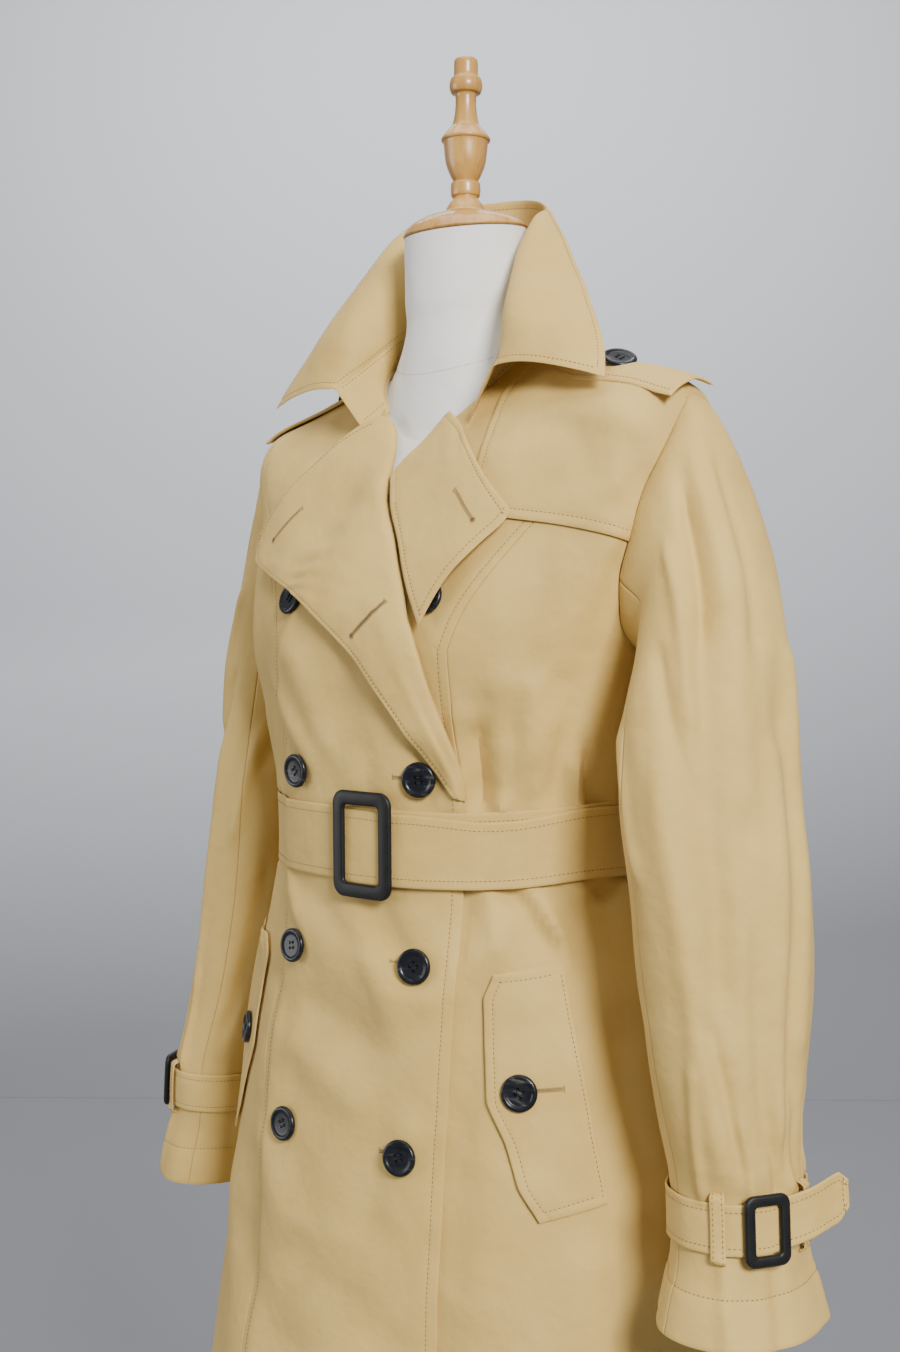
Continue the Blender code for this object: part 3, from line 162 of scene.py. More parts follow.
# Soft folds of the body: ridges are plus, troughs are minus. Degree is a degree's length.
# Columns: angle, height, end angle, end height, half width, depth.
BODY_FOLDS = (
    (45, 1.095, 48, 1.175, 0.011, -0.0040),
    (60, 1.090, 66, 1.160, 0.010, -0.0035),
    (74, 1.090, 78, 1.150, 0.009, -0.0035),
    (-60, 1.095, -50, 1.170, 0.013, 0.0040),
    (-24, 1.010, 10, 0.950, 0.016, 0.0035),
    (48, 1.010, 34, 0.975, 0.012, 0.0040),
    (70, 1.015, 76, 0.850, 0.013, -0.0060),
    (84, 1.010, 88, 0.500, 0.026, 0.0080),
    (-30, 0.900, 2, 0.780, 0.024, 0.0016),
    (-42, 0.780, -20, 0.640, 0.022, 0.0035),
    (-80, 1.010, -84, 0.500, 0.026, 0.0050),
    (118, 1.015, 122, 0.500, 0.026, -0.0070),
    (-118, 1.015, -124, 0.500, 0.026, -0.0070),
    (146, 1.015, 150, 0.500, 0.024, 0.0070),
    (-146, 1.015, -150, 0.500, 0.024, 0.0070),
    (150, 1.100, 140, 1.200, 0.014, -0.0040),
    (-150, 1.100, -138, 1.190, 0.014, -0.0040),
    (128, 1.095, 120, 1.180, 0.012, 0.0035),
    (-128, 1.095, -120, 1.180, 0.012, 0.0035),
)
BODY_DEGREE = 0.0026
NORMAL_ANGLE_STEP = 1.5
NORMAL_LEVEL_STEP = 0.02
FOLD_TAPER = 0.030

# Rings of the sleeves, down from the armhole. The turn round a ring is 0 at the front,
# 90 at the outside, 180 at the back and 270 at the body. Lean tips the ring.
# Columns: height, out, fore, half out, half fore, lean.
SLEEVES = {
    "left": (
        (1.238, 0.2085, 0.001, 0.0660, 0.0550, 64.0),
        (1.200, 0.2190, -0.003, 0.0560, 0.0640, 45.0),
        (1.150, 0.2265, -0.011, 0.0510, 0.0730, 26.0),
        (1.095, 0.2350, -0.019, 0.0500, 0.0750, 12.0),
        (1.035, 0.2460, -0.026, 0.0490, 0.0720, 3.0),
        (0.970, 0.2530, -0.031, 0.0465, 0.0650, 0.0),
        (0.905, 0.2580, -0.033, 0.0420, 0.0550, 0.0),
        (0.862, 0.2620, -0.033, 0.0385, 0.0470, 0.0),
        (0.815, 0.2650, -0.035, 0.0385, 0.0470, 0.0),
        (0.793, 0.2665, -0.036, 0.0440, 0.0535, 0.0),
        (0.772, 0.2680, -0.037, 0.0495, 0.0590, 0.0),
    ),
    "right": (
        (1.238, 0.1995, 0.016, 0.0630, 0.0510, 64.0),
        (1.200, 0.2060, 0.018, 0.0500, 0.0560, 45.0),
        (1.150, 0.2110, 0.021, 0.0450, 0.0640, 22.0),
        (1.095, 0.2140, 0.015, 0.0450, 0.0640, 10.0),
        (1.035, 0.2200, 0.010, 0.0450, 0.0610, 3.0),
        (0.970, 0.2275, 0.004, 0.0430, 0.0550, 0.0),
        (0.905, 0.2375, -0.005, 0.0405, 0.0490, 0.0),
        (0.845, 0.2490, -0.017, 0.0385, 0.0460, 0.0),
        (0.798, 0.2530, -0.017, 0.0385, 0.0460, 0.0),
        (0.770, 0.2580, -0.013, 0.0400, 0.0540, 0.0),
        (0.745, 0.2620, -0.008, 0.0430, 0.0620, 0.0),
    ),
}
SLEEVE_FRONT_SEAM = -22.5
SLEEVE_BACK_SEAM = 202.5
RING_STEP = 0.01
# How strongly the sleeve head leaves the armhole, as a share of its own run
SLEEVE_HEAD = 0.90
# The way the sleeve head leaves the armhole: out, forward at the front, up
HEAD_WAY = (0.60, -0.40, -0.72)
SLEEVE_FOLDS = (
    (44, 1.310, 40, 0.990, 0.010, -0.0050),
    (66, 1.300, 60, 1.020, 0.010, 0.0035),
    (96, 1.140, 92, 0.890, 0.010, -0.0050),
    (12, 1.090, 26, 0.900, 0.009, 0.0040),
    (132, 1.200, 140, 0.900, 0.012, -0.0050),
    (168, 1.120, 160, 0.930, 0.012, 0.0040),
)
SLEEVE_DEGREE = 0.0010

# Ribs of the left half of the collar, from its front end to the centre back. Angle is the
# rib's foot on the neckline, or at first where the neckline ends and the foot runs out to
# the gorge's corner. The seam joins stand and leaf, and the leaf rolls over to its edge.
# Columns: angle, then x, y and z of the seam, of the roll and of the edge.
COLLAR = (
    (42, 0.079, -0.058, 1.384, 0.112, -0.062, 1.389, 0.162, -0.042, 1.369),
    (42, 0.070, -0.036, 1.402, 0.072, -0.060, 1.448, 0.145, -0.022, 1.398),
    (90, 0.060, 0.000, 1.430, 0.048, -0.030, 1.500, 0.107, 0.004, 1.450),
    (118, 0.052, 0.030, 1.436, 0.043, 0.000, 1.528, 0.070, 0.024, 1.496),
    (148, 0.036, 0.055, 1.438, 0.034, 0.045, 1.510, 0.042, 0.040, 1.520),
    (180, 0.000, 0.064, 1.438, 0.000, 0.067, 1.490, 0.000, 0.057, 1.533),
)
GORGE_CORNER = (0.0550, -0.0545, 1.3540)
# The right half of the leaf's edge opens wider than the left one, most at its middle
RIGHT_OPENING = (-0.012, -0.010, 0.016)
RIGHT_TIP_RISE = 0.009

# Rows of the lapels, from the bottom up. Roll is the height on the roll line, then come
# the middle and the outer edge, as distances to the lapel's own side and heights.
# Columns: roll, middle out, middle height, edge out, edge height.
RIGHT_LAPEL = (
    (1.0890, -0.0860, 1.0905, -0.0830, 1.0925),
    (1.1460, -0.0580, 1.1490, -0.0420, 1.1540),
    (1.1850, -0.0360, 1.1860, -0.0100, 1.1870),
    (1.2250, 0.0000, 1.2230, 0.0450, 1.2200),
    (1.2750, 0.0530, 1.2590, 0.1140, 1.2470),
    (1.3200, 0.0580, 1.3120, 0.1270, 1.2590),
    (1.3535, 0.0500, 1.3710, 0.1310, 1.2700),
)
LEFT_LAPEL = (
    (1.3070, 0.0350, 1.2560, 0.0680, 1.2030),
    (1.3150, 0.0480, 1.2690, 0.0850, 1.2345),
    (1.3240, 0.0560, 1.2910, 0.1005, 1.2550),
    (1.3370, 0.0550, 1.3180, 0.1130, 1.2690),
    (1.3535, 0.0440, 1.3530, 0.1180, 1.2780),
)
# Shares of the way along each row, from the roll line by the middle to the outer edge, for the flat
# of the lapel
LAPEL_SHARES = (0.22, 0.42, 0.62, 0.82, 1.0)
# The curl is this low, and no wider than its share of a short row, by the right roll line
CURL_LOW = 0.45
CURL_REACH = 0.030
CLEAR_START = 0.010
CLEAR_RUN = 0.025
LAPEL_CROWN = 0.0102
LAPEL_EDGE = 0.0098

# Storm flap: its lower edge and its front edge, as distances out and heights
FLAP_FRONT = ((0.078, 1.279), (0.077, 1.300), (0.075, 1.330), (0.069, 1.362))
FLAP_TOP_LEVELS = (11.80, 11.85)
FLAP_ROWS = 5
FLAP_START_TURN = -6.0

# Pocket welt rows, from the bottom up
# Columns: left, left height, right, right height.
POCKET = (
    (0.1500, 0.8175, 0.1800, 0.8290),
    (0.1377, 0.8380, 0.1765, 0.8460),
    (0.1270, 0.8670, 0.1715, 0.8680),
    (0.1140, 0.8910, 0.1668, 0.8900),
    (0.1098, 0.9250, 0.1595, 0.9200),
    (0.1062, 0.9580, 0.1515, 0.9520),
    (0.1110, 0.9735, 0.1430, 0.9815),
)
POCKET_BUTTON = (0.1325, 0.8986)

# Epaulette rows, from the sleeve inward: distance out and half width
# Columns: out, half width, lift.
EPAULETTE = (
    (0.1995, 0.0235, 0.0085),
    (0.1800, 0.0230, 0.0088),
    (0.1550, 0.0222, 0.0086),
    (0.1300, 0.0215, 0.0082),
    (0.1080, 0.0205, 0.0078),
    (0.0960, 0.0100, 0.0076),
)
EPAULETTE_WALL = 0.0024
EPAULETTE_MIDDLES = {"left": -0.005, "right": 0.002}
# The right one has no storm flap under it
EPAULETTE_DROPS = {"left": 0.0, "right": 0.0038}
EPAULETTE_BUTTONS = {"left": 0.146, "right": 0.120}
# An epaulette's button leans outward and forward on its shank
BUTTON_LEAN = (0.32, -0.20, 0.0)

# The dress form's distance inside the coat, by level
# Columns: level, inset.
FORM = (
    (3.1, 0.044), (4.0, 0.038), (5.0, 0.033), (6.0, 0.031), (7.0, 0.026), (8.0, 0.017),
    (9.0, 0.0120), (10.0, 0.0075), (11.0, 0.0070), (12.0, 0.0054),
)
# Rings of the neck, which leans forward. Tilt is how far a ring's front sinks, in degrees.
# Columns: height, radius, middle, tilt.
NECK = (
    (1.4340, 0.0498, 0.0060, 20.0), (1.4540, 0.0480, 0.0040, 13.0),
    (1.4750, 0.0467, 0.0020, 9.0), (1.4965, 0.0458, 0.0000, 7.0),
)
# Rings of the wooden cap on the neck, level at its top
CAP = (
    (1.4972, 0.0450, 0.0000, 7.0), (1.4978, 0.0462, 0.0000, 7.0), (1.4992, 0.0462, 0.0000, 6.6),
    (1.5040, 0.0415, 0.0000, 4.5), (1.5088, 0.0300, 0.0000, 2.0), (1.5115, 0.0150, 0.0000, 0.0),
)
# Turned profile of the finial: radius and height above the neck's top
FINIAL = (
    (0.0000, 0.1302), (0.0065, 0.1300), (0.0088, 0.1275), (0.0091, 0.1170), (0.0112, 0.1150),
    (0.0123, 0.1097), (0.0110, 0.1048), (0.0080, 0.1030), (0.0080, 0.0920), (0.0100, 0.0815),
    (0.0130, 0.0775), (0.0180, 0.0712), (0.0178, 0.0690), (0.0166, 0.0676), (0.0149, 0.0533),
    (0.0115, 0.0440), (0.0085, 0.0385), (0.0108, 0.0378), (0.0108, 0.0292), (0.0092, 0.0272),
    (0.0129, 0.0218), (0.0148, 0.0176), (0.0148, 0.0153), (0.0000, 0.0153),
)

# Finer sizes, in metres
CLOTH = 0.0015
TINY = 0.00012
WHIP_REACH = 0.0015
# Slow waves of the cloth: size, then turns for each metre along X, Y and Z, and a start
BODY_WAVES = (
    (0.00095, 34, 22, 15, 0.4), (0.00085, -48, 31, 27, 1.9), (0.00060, 76, -52, 19, 4.0),
    (0.00036, 118, 74, -44, 2.2), (0.00022, -150, 96, 70, 5.1),
)
SLEEVE_WAVES = (
    (0.00090, 40, 52, 14, 1.1), (0.00075, -66, 44, 24, 3.0), (0.00040, 110, -84, 46, 0.2),
    (0.00018, 90, 130, -75, 4.4),
)
COLLAR_WAVES = (
    (0.00045, 60, 44, 52, 0.7), (0.00028, -96, 80, 61, 2.6), (0.00018, 150, -120, 90, 1.2),
)
CREASE_TAPER = 0.012
# How much deeper the creases are outward and inward
CREASE_GAIN = (2.5, 1.8)
CREASE_WIDTH = 1.35
# How far under the belt and the straps the creases run, and over how much they fade there
CREASE_START = 0.006
CREASE_RUN = 0.010
STRAP_CREASE_START = 0.004
STRAP_CREASE_RUN = 0.008
# Top stitching: how far each line of it lies from its edge
HEM_STITCH = 0.036
SEAM_STITCH = 0.0072
EDGE_STITCH = 0.0080
LAPEL_STITCH = 0.0058
FLAP_STITCHES = (("low", 0.0068), ("left", 0.0065))
STAND_STITCHES = (("high", 0.0030), ("low", 0.0075))
COLLAR_STITCHES = (("high", 0.0056), ("left", 0.0056), ("right", 0.0056), ("low", 0.0030))
EPAULETTE_STITCH = 0.0052
POCKET_STITCH = 0.0066
POCKET_BACK_STITCH = 0.0030
BELT_STITCH = 0.0058
CUFF_STITCH = 0.030
SLEEVE_STITCH = 0.0060
STRAP_STITCH = 0.0046
KEEPER_STITCH = 0.0018
KEEPER_TURNED_EDGE = 0.0009
BUCKLE_STITCHES = (0.17, 0.83)
BUCKLE_STITCH_RISE = 0.475
# A buckle frame: its outer corner and what that loses inward, as shares of its bar, the
# least corner, how square its section is across and up, and the height of its back's half
BUCKLE_CORNER = (0.95, 0.62)
BUCKLE_LEAST_CORNER = 0.0018
BUCKLE_SECTION = (0.55, 0.7)
BUCKLE_BACK = 0.8
# Columns of a panel near its edge, and on both sides of a line of stitches
EDGE_MARKS = (0.0, 0.0006, 0.0014, 0.0030)
STITCH_MARKS = (-0.0020, -0.0011, 0, 0.0011, 0.0022)
# The groove that a line of stitches draws in the cloth
GROOVE_DEPTH = 0.00035
GROOVE_HALF_WIDTH = 0.0011
# How many rows of the overlap and of the flap's front edge are sewn
OVERLAP_SEWN_ROWS = 230
FLAP_SEWN_ROWS = 60
# Narrow creases and gathers, in degrees and millimetres.
# Columns: angle, height, end angle, end height, half width, depth.
BODY_CREASES = (
    # above the belt, from the middle of the front round the wearer's left
    (8, 1080, 6, 1112, 5, -1), (24, 1080, 22, 1118, 6, -1.2), (33, 1081, 35, 1104, 4.5, 1),
    (40, 1079, 37, 1128, 5.5, -3.2), (46, 1079, 45, 1120, 4.5, 1.9),
    (52, 1080, 54, 1106, 4.5, -1.3), (61, 1080, 60, 1138, 7, 1.3), (70, 1079, 68, 1108, 5, 1.5),
    (77, 1078, 73, 1112, 4.5, -2.8), (84, 1079, 85, 1120, 5, 1.8), (91, 1079, 93, 1108, 5, -1.6),
    (101, 1080, 99, 1135, 6.5, 1.8), (112, 1079, 115, 1110, 5, -1.8),
    (126, 1079, 124, 1128, 6, 1.6), (139, 1080, 142, 1106, 5, -1.5),
    (156, 1079, 154, 1140, 6.5, 1.5), (170, 1079, 171, 1105, 5, -1.2),
    (-168, 1079, -170, 1125, 6, 1.3), (-152, 1080, -150, 1108, 5, -1.4),
    (-140, 1079, -137, 1132, 6, 1.6), (-124, 1079, -127, 1112, 5, -1.6),
    (-110, 1080, -108, 1128, 6, 1.7), (-97, 1079, -99, 1106, 5, -1.5),
    (-82, 1079, -78, 1134, 6.5, 1.6), (-66, 1080, -68, 1112, 5, -1.4),
    (-52, 1080, -47, 1138, 6, 1.3), (-36, 1079, -38, 1104, 4.5, -1.1),
    (-27, 1158, -13, 1112, 6.5, 1.1), (-34, 1150, -20, 1100, 6, -1),
    # drawn down from the bust and the armholes
    (36, 1146, 52, 1196, 9, 1), (44, 1250, 60, 1170, 10, -1), (78, 1210, 70, 1130, 8, -1.4),
    (100, 1235, 112, 1150, 9, -1.6), (118, 1250, 130, 1200, 9, 1.4),
    (-104, 1232, -114, 1150, 9, -1.5), (-120, 1250, -133, 1196, 9, 1.3),
    (-72, 1225, -60, 1160, 8, -1.2), (166, 1180, 150, 1140, 10, 1.2),
    (-164, 1186, -149, 1150, 10, 1.2),
    # below the belt
    (-28, 1028, -20, 1002, 5, 1.2), (-12, 1012, 4, 984, 7, -1.2), (-3, 992, 22, 955, 8.5, 1.4),
    (35, 1022, 32, 972, 4, -1.2), (42, 1029, 43, 992, 5.5, 1.6), (48, 1030, 57, 994, 5.5, -3),
    (55, 1030, 62, 1000, 5, 1.8), (64, 1030, 66, 985, 6, -1.2), (72, 1030, 70, 992, 6, 1.4),
    (80, 1030, 79, 930, 8, -3), (88, 1030, 90, 960, 7, 2), (97, 1030, 99, 984, 5.5, -1.8),
    (108, 1030, 106, 950, 7, 1.7), (122, 1030, 124, 975, 6, -1.7), (136, 1030, 134, 940, 7.5, 1.8),
    (148, 1030, 151, 985, 5.5, -1.4), (163, 1030, 161, 935, 7.5, 1.6),
    (176, 1030, 177, 990, 5.5, -1.2), (-166, 1030, -168, 955, 7, 1.5),
    (-153, 1030, -151, 985, 5.5, -1.4), (-138, 1030, -141, 930, 7.5, 1.8),
    (-123, 1030, -121, 980, 5.5, -1.6), (-108, 1030, -110, 945, 7, 1.8),
    (-94, 1030, -92, 985, 5.5, -1.6), (-78, 1030, -81, 940, 7, 1.7),
    (-62, 1030, -60, 985, 5.5, -1.4), (-46, 1030, -44, 968, 6.5, 1.3),
    # soft troughs and ridges of the front, drawn across the overlap
    (8, 1018, 19, 970, 8, -1.8), (2, 1000, 12, 955, 8, 1.5), (-10, 938, 8, 915, 10, -1.8),
    (-14, 905, 4, 880, 11, 1.5), (-14, 843, 0, 797, 10, -2), (-24, 830, -10, 780, 11, 1.5),
    (18, 866, 15, 815, 9, 1.5), (-32, 760, -8, 700, 13, -1.8), (-30, 960, -20, 930, 10, -1.4),
    (36, 965, 31, 870, 7, -1.4), (30, 840, 26, 700, 9, -1.4), (1, 1195, 3, 1126, 10, -1.4),
    (-14, 1181, -6, 1125, 9, 1.4), (37, 1152, 37, 1096, 7.5, -2), (31, 1143, 33, 1095, 6.5, 1.4),
    (60, 1165, 64, 1092, 8.5, -1.8), (50, 1165, 54, 1100, 8, 1.5), (43, 1335, 51, 1305, 9, -1.4),
    (57, 1342, 61, 1300, 9, 1.3), (42, 1240, 50, 1180, 11, -1.2), (72, 1240, 66, 1190, 10, -1.6),
    # low on the skirt
    (-13, 842, 2, 790, 12, 1.3), (-6, 770, 18, 718, 13, -1.4), (44, 840, 30, 760, 11, 1.3),
    (30, 880, 28, 700, 6, -1), (72, 800, 74, 560, 15, -2.4), (60, 790, 56, 560, 16, 2.2),
    (104, 920, 106, 560, 15, 2.4), (134, 900, 132, 540, 15, -2.4), (168, 880, 166, 560, 15, 2),
    (-158, 900, -160, 540, 15, -2), (-134, 880, -132, 560, 15, 2.2),
    (-100, 900, -102, 560, 15, 2.4), (-62, 800, -58, 560, 15, -1.8),
    # shoulders and the storm flap
    (58, 1330, 70, 1300, 10, -1.2), (46, 1345, 62, 1335, 8, 1), (52, 1290, 66, 1262, 11, 1.1),
    (128, 1330, 114, 1290, 11, -1.3), (-128, 1322, -114, 1284, 11, -1.3),
)
SLEEVE_CREASES = (
    (38, 1300, 42, 1205, 5.5, -1.6), (52, 1312, 54, 1225, 6, 1.4), (74, 1305, 76, 1200, 7, -1.4),
    (20, 1245, 34, 1150, 6, 1.4), (10, 1180, 30, 1110, 6.5, -1.4), (86, 1120, 78, 900, 8.5, 1.6),
    (108, 1180, 100, 950, 8, 1.6), (60, 1080, 66, 890, 7, -1.3), (30, 960, 46, 880, 6, -1.5),
    (14, 930, 8, 866, 5, 1.4), (46, 900, 50, 862, 4.5, 1.4), (72, 900, 74, 860, 4.5, -1.3),
    (92, 905, 90, 862, 5, 1.4), (118, 900, 120, 860, 4.5, -1.4), (146, 910, 143, 862, 5, 1.5),
    (172, 900, 175, 860, 4.5, -1.3), (196, 1000, 190, 880, 7, 1.4), (222, 1150, 214, 1070, 7, -1.5),
    (240, 1100, 250, 1000, 7, 1.4), (268, 980, 262, 880, 6, -1.3), (300, 1170, 318, 1120, 7, -1.4),
    (330, 1130, 344, 1060, 6.5, 1.4), (312, 1020, 322, 900, 6.5, -1.3), (26, 815, 30, 775, 7, 1.2),
    (70, 812, 66, 772, 8, -1.3), (130, 812, 126, 772, 8, 1.2), (200, 812, 206, 772, 8, -1.2),
    (290, 812, 286, 772, 8, 1.2),
)
# Buttonholes on the fronts and lapels: ends as distance and height, then the width of the slit
HOLES = {
    "right_lapel": (((-0.0770, 1.2920), (-0.1020, 1.2700), 0.00025),
                    ((0.0405, 1.2220), (0.0154, 1.1990), 0.0013)),
    "left_lapel": (((0.0740, 1.2970), (0.0940, 1.2760), 0.00025),),
}
# The other buttonholes' ends, from their buttons: outward and up
FRONT_HOLE = ((-0.0190, 0.0008), (-0.0030, 0.0008))
POCKET_HOLE = ((0.0215, 0.0030), (0.0040, 0.0012))
HOLE_SLIT = 0.0004
SLIT_RISE = 0.0003
SLIT_FULLNESS = 0.6
# The whipped threads: their pitch, share of the slit's width and distances above the cloth
WHIP_PITCH = 0.0006
WHIP_SHARE = 0.8
WHIP_LIFT = 0.0002
WHIP_SEAT = 0.00014
EYELET_STEPS = 18
EYELET_AHEAD = 0.0010
EYELET_THREAD = (0.0011, 0.0026)
EYELET_RADIUS = 0.0012
EYELET_RISE = 0.0004
# The bar at a buttonhole's other end: threads, half width, half thread length, gap and lift
BAR_THREADS = 9
BAR_HALF_WIDTH = 0.0020
BAR_HALF_THREAD = 0.0007
BAR_GAP = 0.0006
BAR_SEAT = 0.00016
LEAST_AWAY = 0.0002

# The lapel's turn round the roll line. Columns: across, lift.
LAPEL_ROLL = ((-0.0008, -0.0002), (-0.0030, 0.0014), (-0.0030, 0.0050), (0.0034, 0.0080))
ROLL_COLUMNS = 6
COLLAR_THICK = 0.0018
# How much lower the epaulettes lie than their solids
EPAULETTE_LOWER = {"left": 0.0046, "right": 0.0026}
EPAULETTE_FLATNESS = {"left": 0.0, "right": 0.30}
# Beyond this distance an epaulette runs straight on; then how far, and how fully
EPAULETTE_STRAIGHT = {"left": (0.178, 1.36, 0.66), "right": (0.178, 1.0, 0.45)}
EPAULETTE_SLANT = {"left": 0.0055, "right": 0.0}
EPAULETTE_RUN = 0.02
EPAULETTE_COLUMNS = 17
EPAULETTE_BOW = 0.0006
EPAULETTE_WAVE = 0.0005
# Sewn buttons turn a little on their shanks, in degrees toward the front edge
BUTTON_TURNS = {"left": 5.0, "right": 8.0}
BUTTON_SPINS = {"left": (0.4, 0.1, 0.9, 0.3), "right": (1.2, 0.7, 0.2, 0.5)}
# How much farther in than the solids' the buttons' columns lie
BUTTON_INWARD = {"left": 0.0, "right": 0.003}
BUTTON_COLUMNS = 72
BUTTON_RINGS = (0.0, 0.06, 0.10, 0.13, 0.16, 0.19, 0.22, 0.25, 0.28, 0.31, 0.34, 0.40, 0.48, 0.56,
                0.62, 0.66, 0.70, 0.74, 0.79, 0.85, 0.91, 0.96, 0.99)
# A button's face and its side, as shares of its radius. Columns: radius, height.
BUTTON_FACE = ((0, 0.190), (0.60, 0.205), (0.68, 0.215), (0.76, 0.285), (0.86, 0.300),
               (0.95, 0.265), (0.99, 0.200))
BUTTON_SIDE = ((1.0, 0.16), (1.0, 0.08), (0.97, 0.04), (0.0, 0.04))
HOLE_PLACE = 0.155
# The thread that runs through two holes. Columns: place along it, height.
BUTTON_THREAD = ((-0.155, 0.10), (-0.10, 0.232), (0.10, 0.232), (0.155, 0.10))
# The belt's unevenness. Columns: angle, half width, size.
BELT_RIPPLES = ((-58, 10, 0.0003), (-24, 7, 0.0006), (112, 8, 0.0012), (139, 6, -0.0003),
                (171, 9, 0.0011), (205, 7, 0.0005), (238, 9, 0.0011), (268, 7, 0.0006))
# Where the belt rides up round the side
BELT_RISES = ((84, 30, 0.0062),)
TAIL_RIPPLES = (
    (22, 6, 0.0005), (44, 7, 0.0010), (63, 5, 0.0002), (80, 6, 0.0011), (100, 8, 0.0004),
)
TAIL_SAG = ((46, 19, -0.0052), (88, 12, -0.0012), (14, 6, -0.0010))
TAIL_LOWER = ((40, 22, 0.0005), (70, 15, 0.0012))
BELT_BUCKLE_SPIN = -0.012
BUCKLE_BEND = 0.0010
STRAP_RIPPLES = ((96, 10, 0.0006), (150, 14, 0.0007), (215, 16, 0.0005), (268, 12, 0.0008),
                 (318, 10, 0.0005), (352, 8, 0.0004))
STRAP_CURL = 0.0040
# Where rows lie near the edge of a band, as shares of its height or half height
BELT_EDGE = (0.5, 0.485, 0.46, 0.42)
KEEPER_EDGE = (1, 0.9, 0.72, 0.4)
EPAULETTE_EDGE = (1, 0.97, 0.92, 0.86)
STRAP_EDGE = (0.5, 0.475, 0.44, 0.38)
STRAP_ROWS = 7
BELT_BOW = 0.0006
# The stand's foot is tucked down and inside the neckline
STAND_TUCK = 0.0040
STAND_TUCK_IN = 0.0017
STAND_TUCK_RUN = 0.0075
# The left lapel's fold runs on under the right one below the crossing
LEFT_TUCK = 0.0040
LEFT_TUCK_START = 1.2900
LEFT_TUCK_RUN = 0.02
# The right lapel's fold closes toward the belt
CLOSE_START = 1.0890
CLOSE_RUN = 0.045
CLOSED_SHARE = 0.30
# The neck's seam on the form: height on the axis and its slope to the back
NECK_SEAM = (1.4080, 0.45)
# The neck's seam: how deep and wide its groove is, and the lowest height it is looked for
NECK_SEAM_DEPTH = 0.0011
NECK_SEAM_WIDTH = 0.0016
NECK_SEAM_LOWEST = 1.3
FORM_START = 3.1
FORM_END = 11.9
FORM_RINGS = 110
FORM_COLUMNS = 144
POLE_BEVEL = 0.0004
# The form's underside. Columns: share of its width, rise.
FORM_UNDERSIDE = ((0.70, 0.0), (0.80, 0.0), (0.89, 0.0022), (0.95, 0.008), (0.985, 0.017))
BASE_FINE = (
    (0.0, 1.0), (0.16, 1.0), (0.30, 0.97), (0.50, 0.88), (0.70, 0.74), (0.84, 0.59), (0.93, 0.46),
    (0.98, 0.34), (0.998, 0.24), (1.0, 0.14), (0.995, 0.03), (0.985, 0.0), (0.0, 0.0),
)
# Colours, camera and light
CLOTH_COLOUR = (0.530, 0.350, 0.098)
CLOTH_PALE = (0.720, 0.515, 0.166)
# The topstitching thread: partly its own dark tan, partly painted shade, darkened so that each line
# of stitches also carries the shade of the stitch line
THREAD_COLOUR_WITH_PAINTED_SHADE = (0.17, 0.105, 0.042)
WHIP_COLOUR = (0.36, 0.235, 0.095)
# The distance from one rib, weft thread or course of knitting to the next
TWILL_RIB = 0.00062
TWILL_WEFT = 0.00047
JERSEY_COURSE = 0.0011
CAMERA_LENS = 43.636
CAMERA_AZIMUTH = 42.4767
CAMERA_AWAY = 1.2265
CAMERA_HEIGHT = 1.1972
CAMERA_SHIFT = 0.0105
CAMERA_PITCH = 0.0234
CAMERA_ROLL = -0.003
BACKDROP_AWAY = 4.3
BACKDROP_BEND = 1.3
# The backdrop's paper grey, and the painted shade it darkens to low down toward the camera's right;
# the floor takes that darker grey evenly all over
BACKDROP_LIGHT = (0.46, 0.47, 0.503)
BACKDROP_DARK = (0.180, 0.184, 0.198)
BACKDROP_RANGE = (-1.20, -0.16)
BACKDROP_SIDE = 0.10
BACKDROP_HEIGHT = 5.5
STAGE_HALF_WIDTH = 6
# Name, place, target, size, power, colour
LIGHTS = (
    ("key", (2.75, -1.5, 2.5), (0.0, 0.0, 1.15), (0.9, 0.9), 180.0, (1.0, 0.985, 0.955)),
    ("fill", (-2.4, -2.5, 1.3), (0.0, 0.0, 0.75), (1.8, 1.8), 50.0, (1.0, 0.99, 0.975)),
    ("wall", (-1.49, 1.62, 3.7), (-2.90, 3.17, 0.9), (3.0, 1.2), 135.0, (1.0, 1.0, 1.0)),
    ("top", (0.1, -0.2, 3.4), (0.0, 0.0, 1.0), (2.0, 2.0), 40.0, (1.0, 1.0, 1.0)),
)
WORLD_COLOUR = (0.97, 0.98, 1.0)
WORLD_STRENGTH = 0.42


# Reading the tables, for whole grids of places at once


def cubic(first, slope, second, next_slope, part):
    """A smooth run between two points, with a slope at each."""
    square = part * part
    cube = square * part
    return (first * (2 * cube - 3 * square + 1) + slope * (cube - 2 * square + part)
            + second * (3 * square - 2 * cube) + next_slope * (cube - square))


def smooth(table, place):
    """The columns of a table at places between its rows, on a smooth curve."""
    rows = np.asarray(table, float)
    last = len(rows) - 1
    place = np.clip(np.asarray(place, float), 0, last)
    low = np.minimum(place.astype(int), last - 1)
    part = (place - low)[..., None]
    before, first = rows[np.maximum(low - 1, 0)], rows[low]
    second, after = rows[low + 1], rows[np.minimum(low + 2, last)]
    slope = np.where((low > 0)[..., None], (second - before) / 2, second - first)
    next_slope = np.where((low + 1 < last)[..., None], (after - first) / 2, second - first)
    return cubic(first, slope, second, next_slope, part)


def keyed(table, key):
    """The second column of a table, read at values of its first one."""
    keys = [row[0] for row in table]
    return smooth(table, np.interp(key, keys, np.arange(len(keys))))[..., 1]


def ease(value):
    value = np.clip(value, 0.0, 1.0)
    return value * value * (3 - 2 * value)


def bisect(low, high, is_below):
    """The places between two ends where a test turns false."""
    for _ in range(30):
        middle = (low + high) / 2
        below = is_below(middle)
        low = np.where(below, middle, low)
        high = np.where(below, high, middle)
    return low


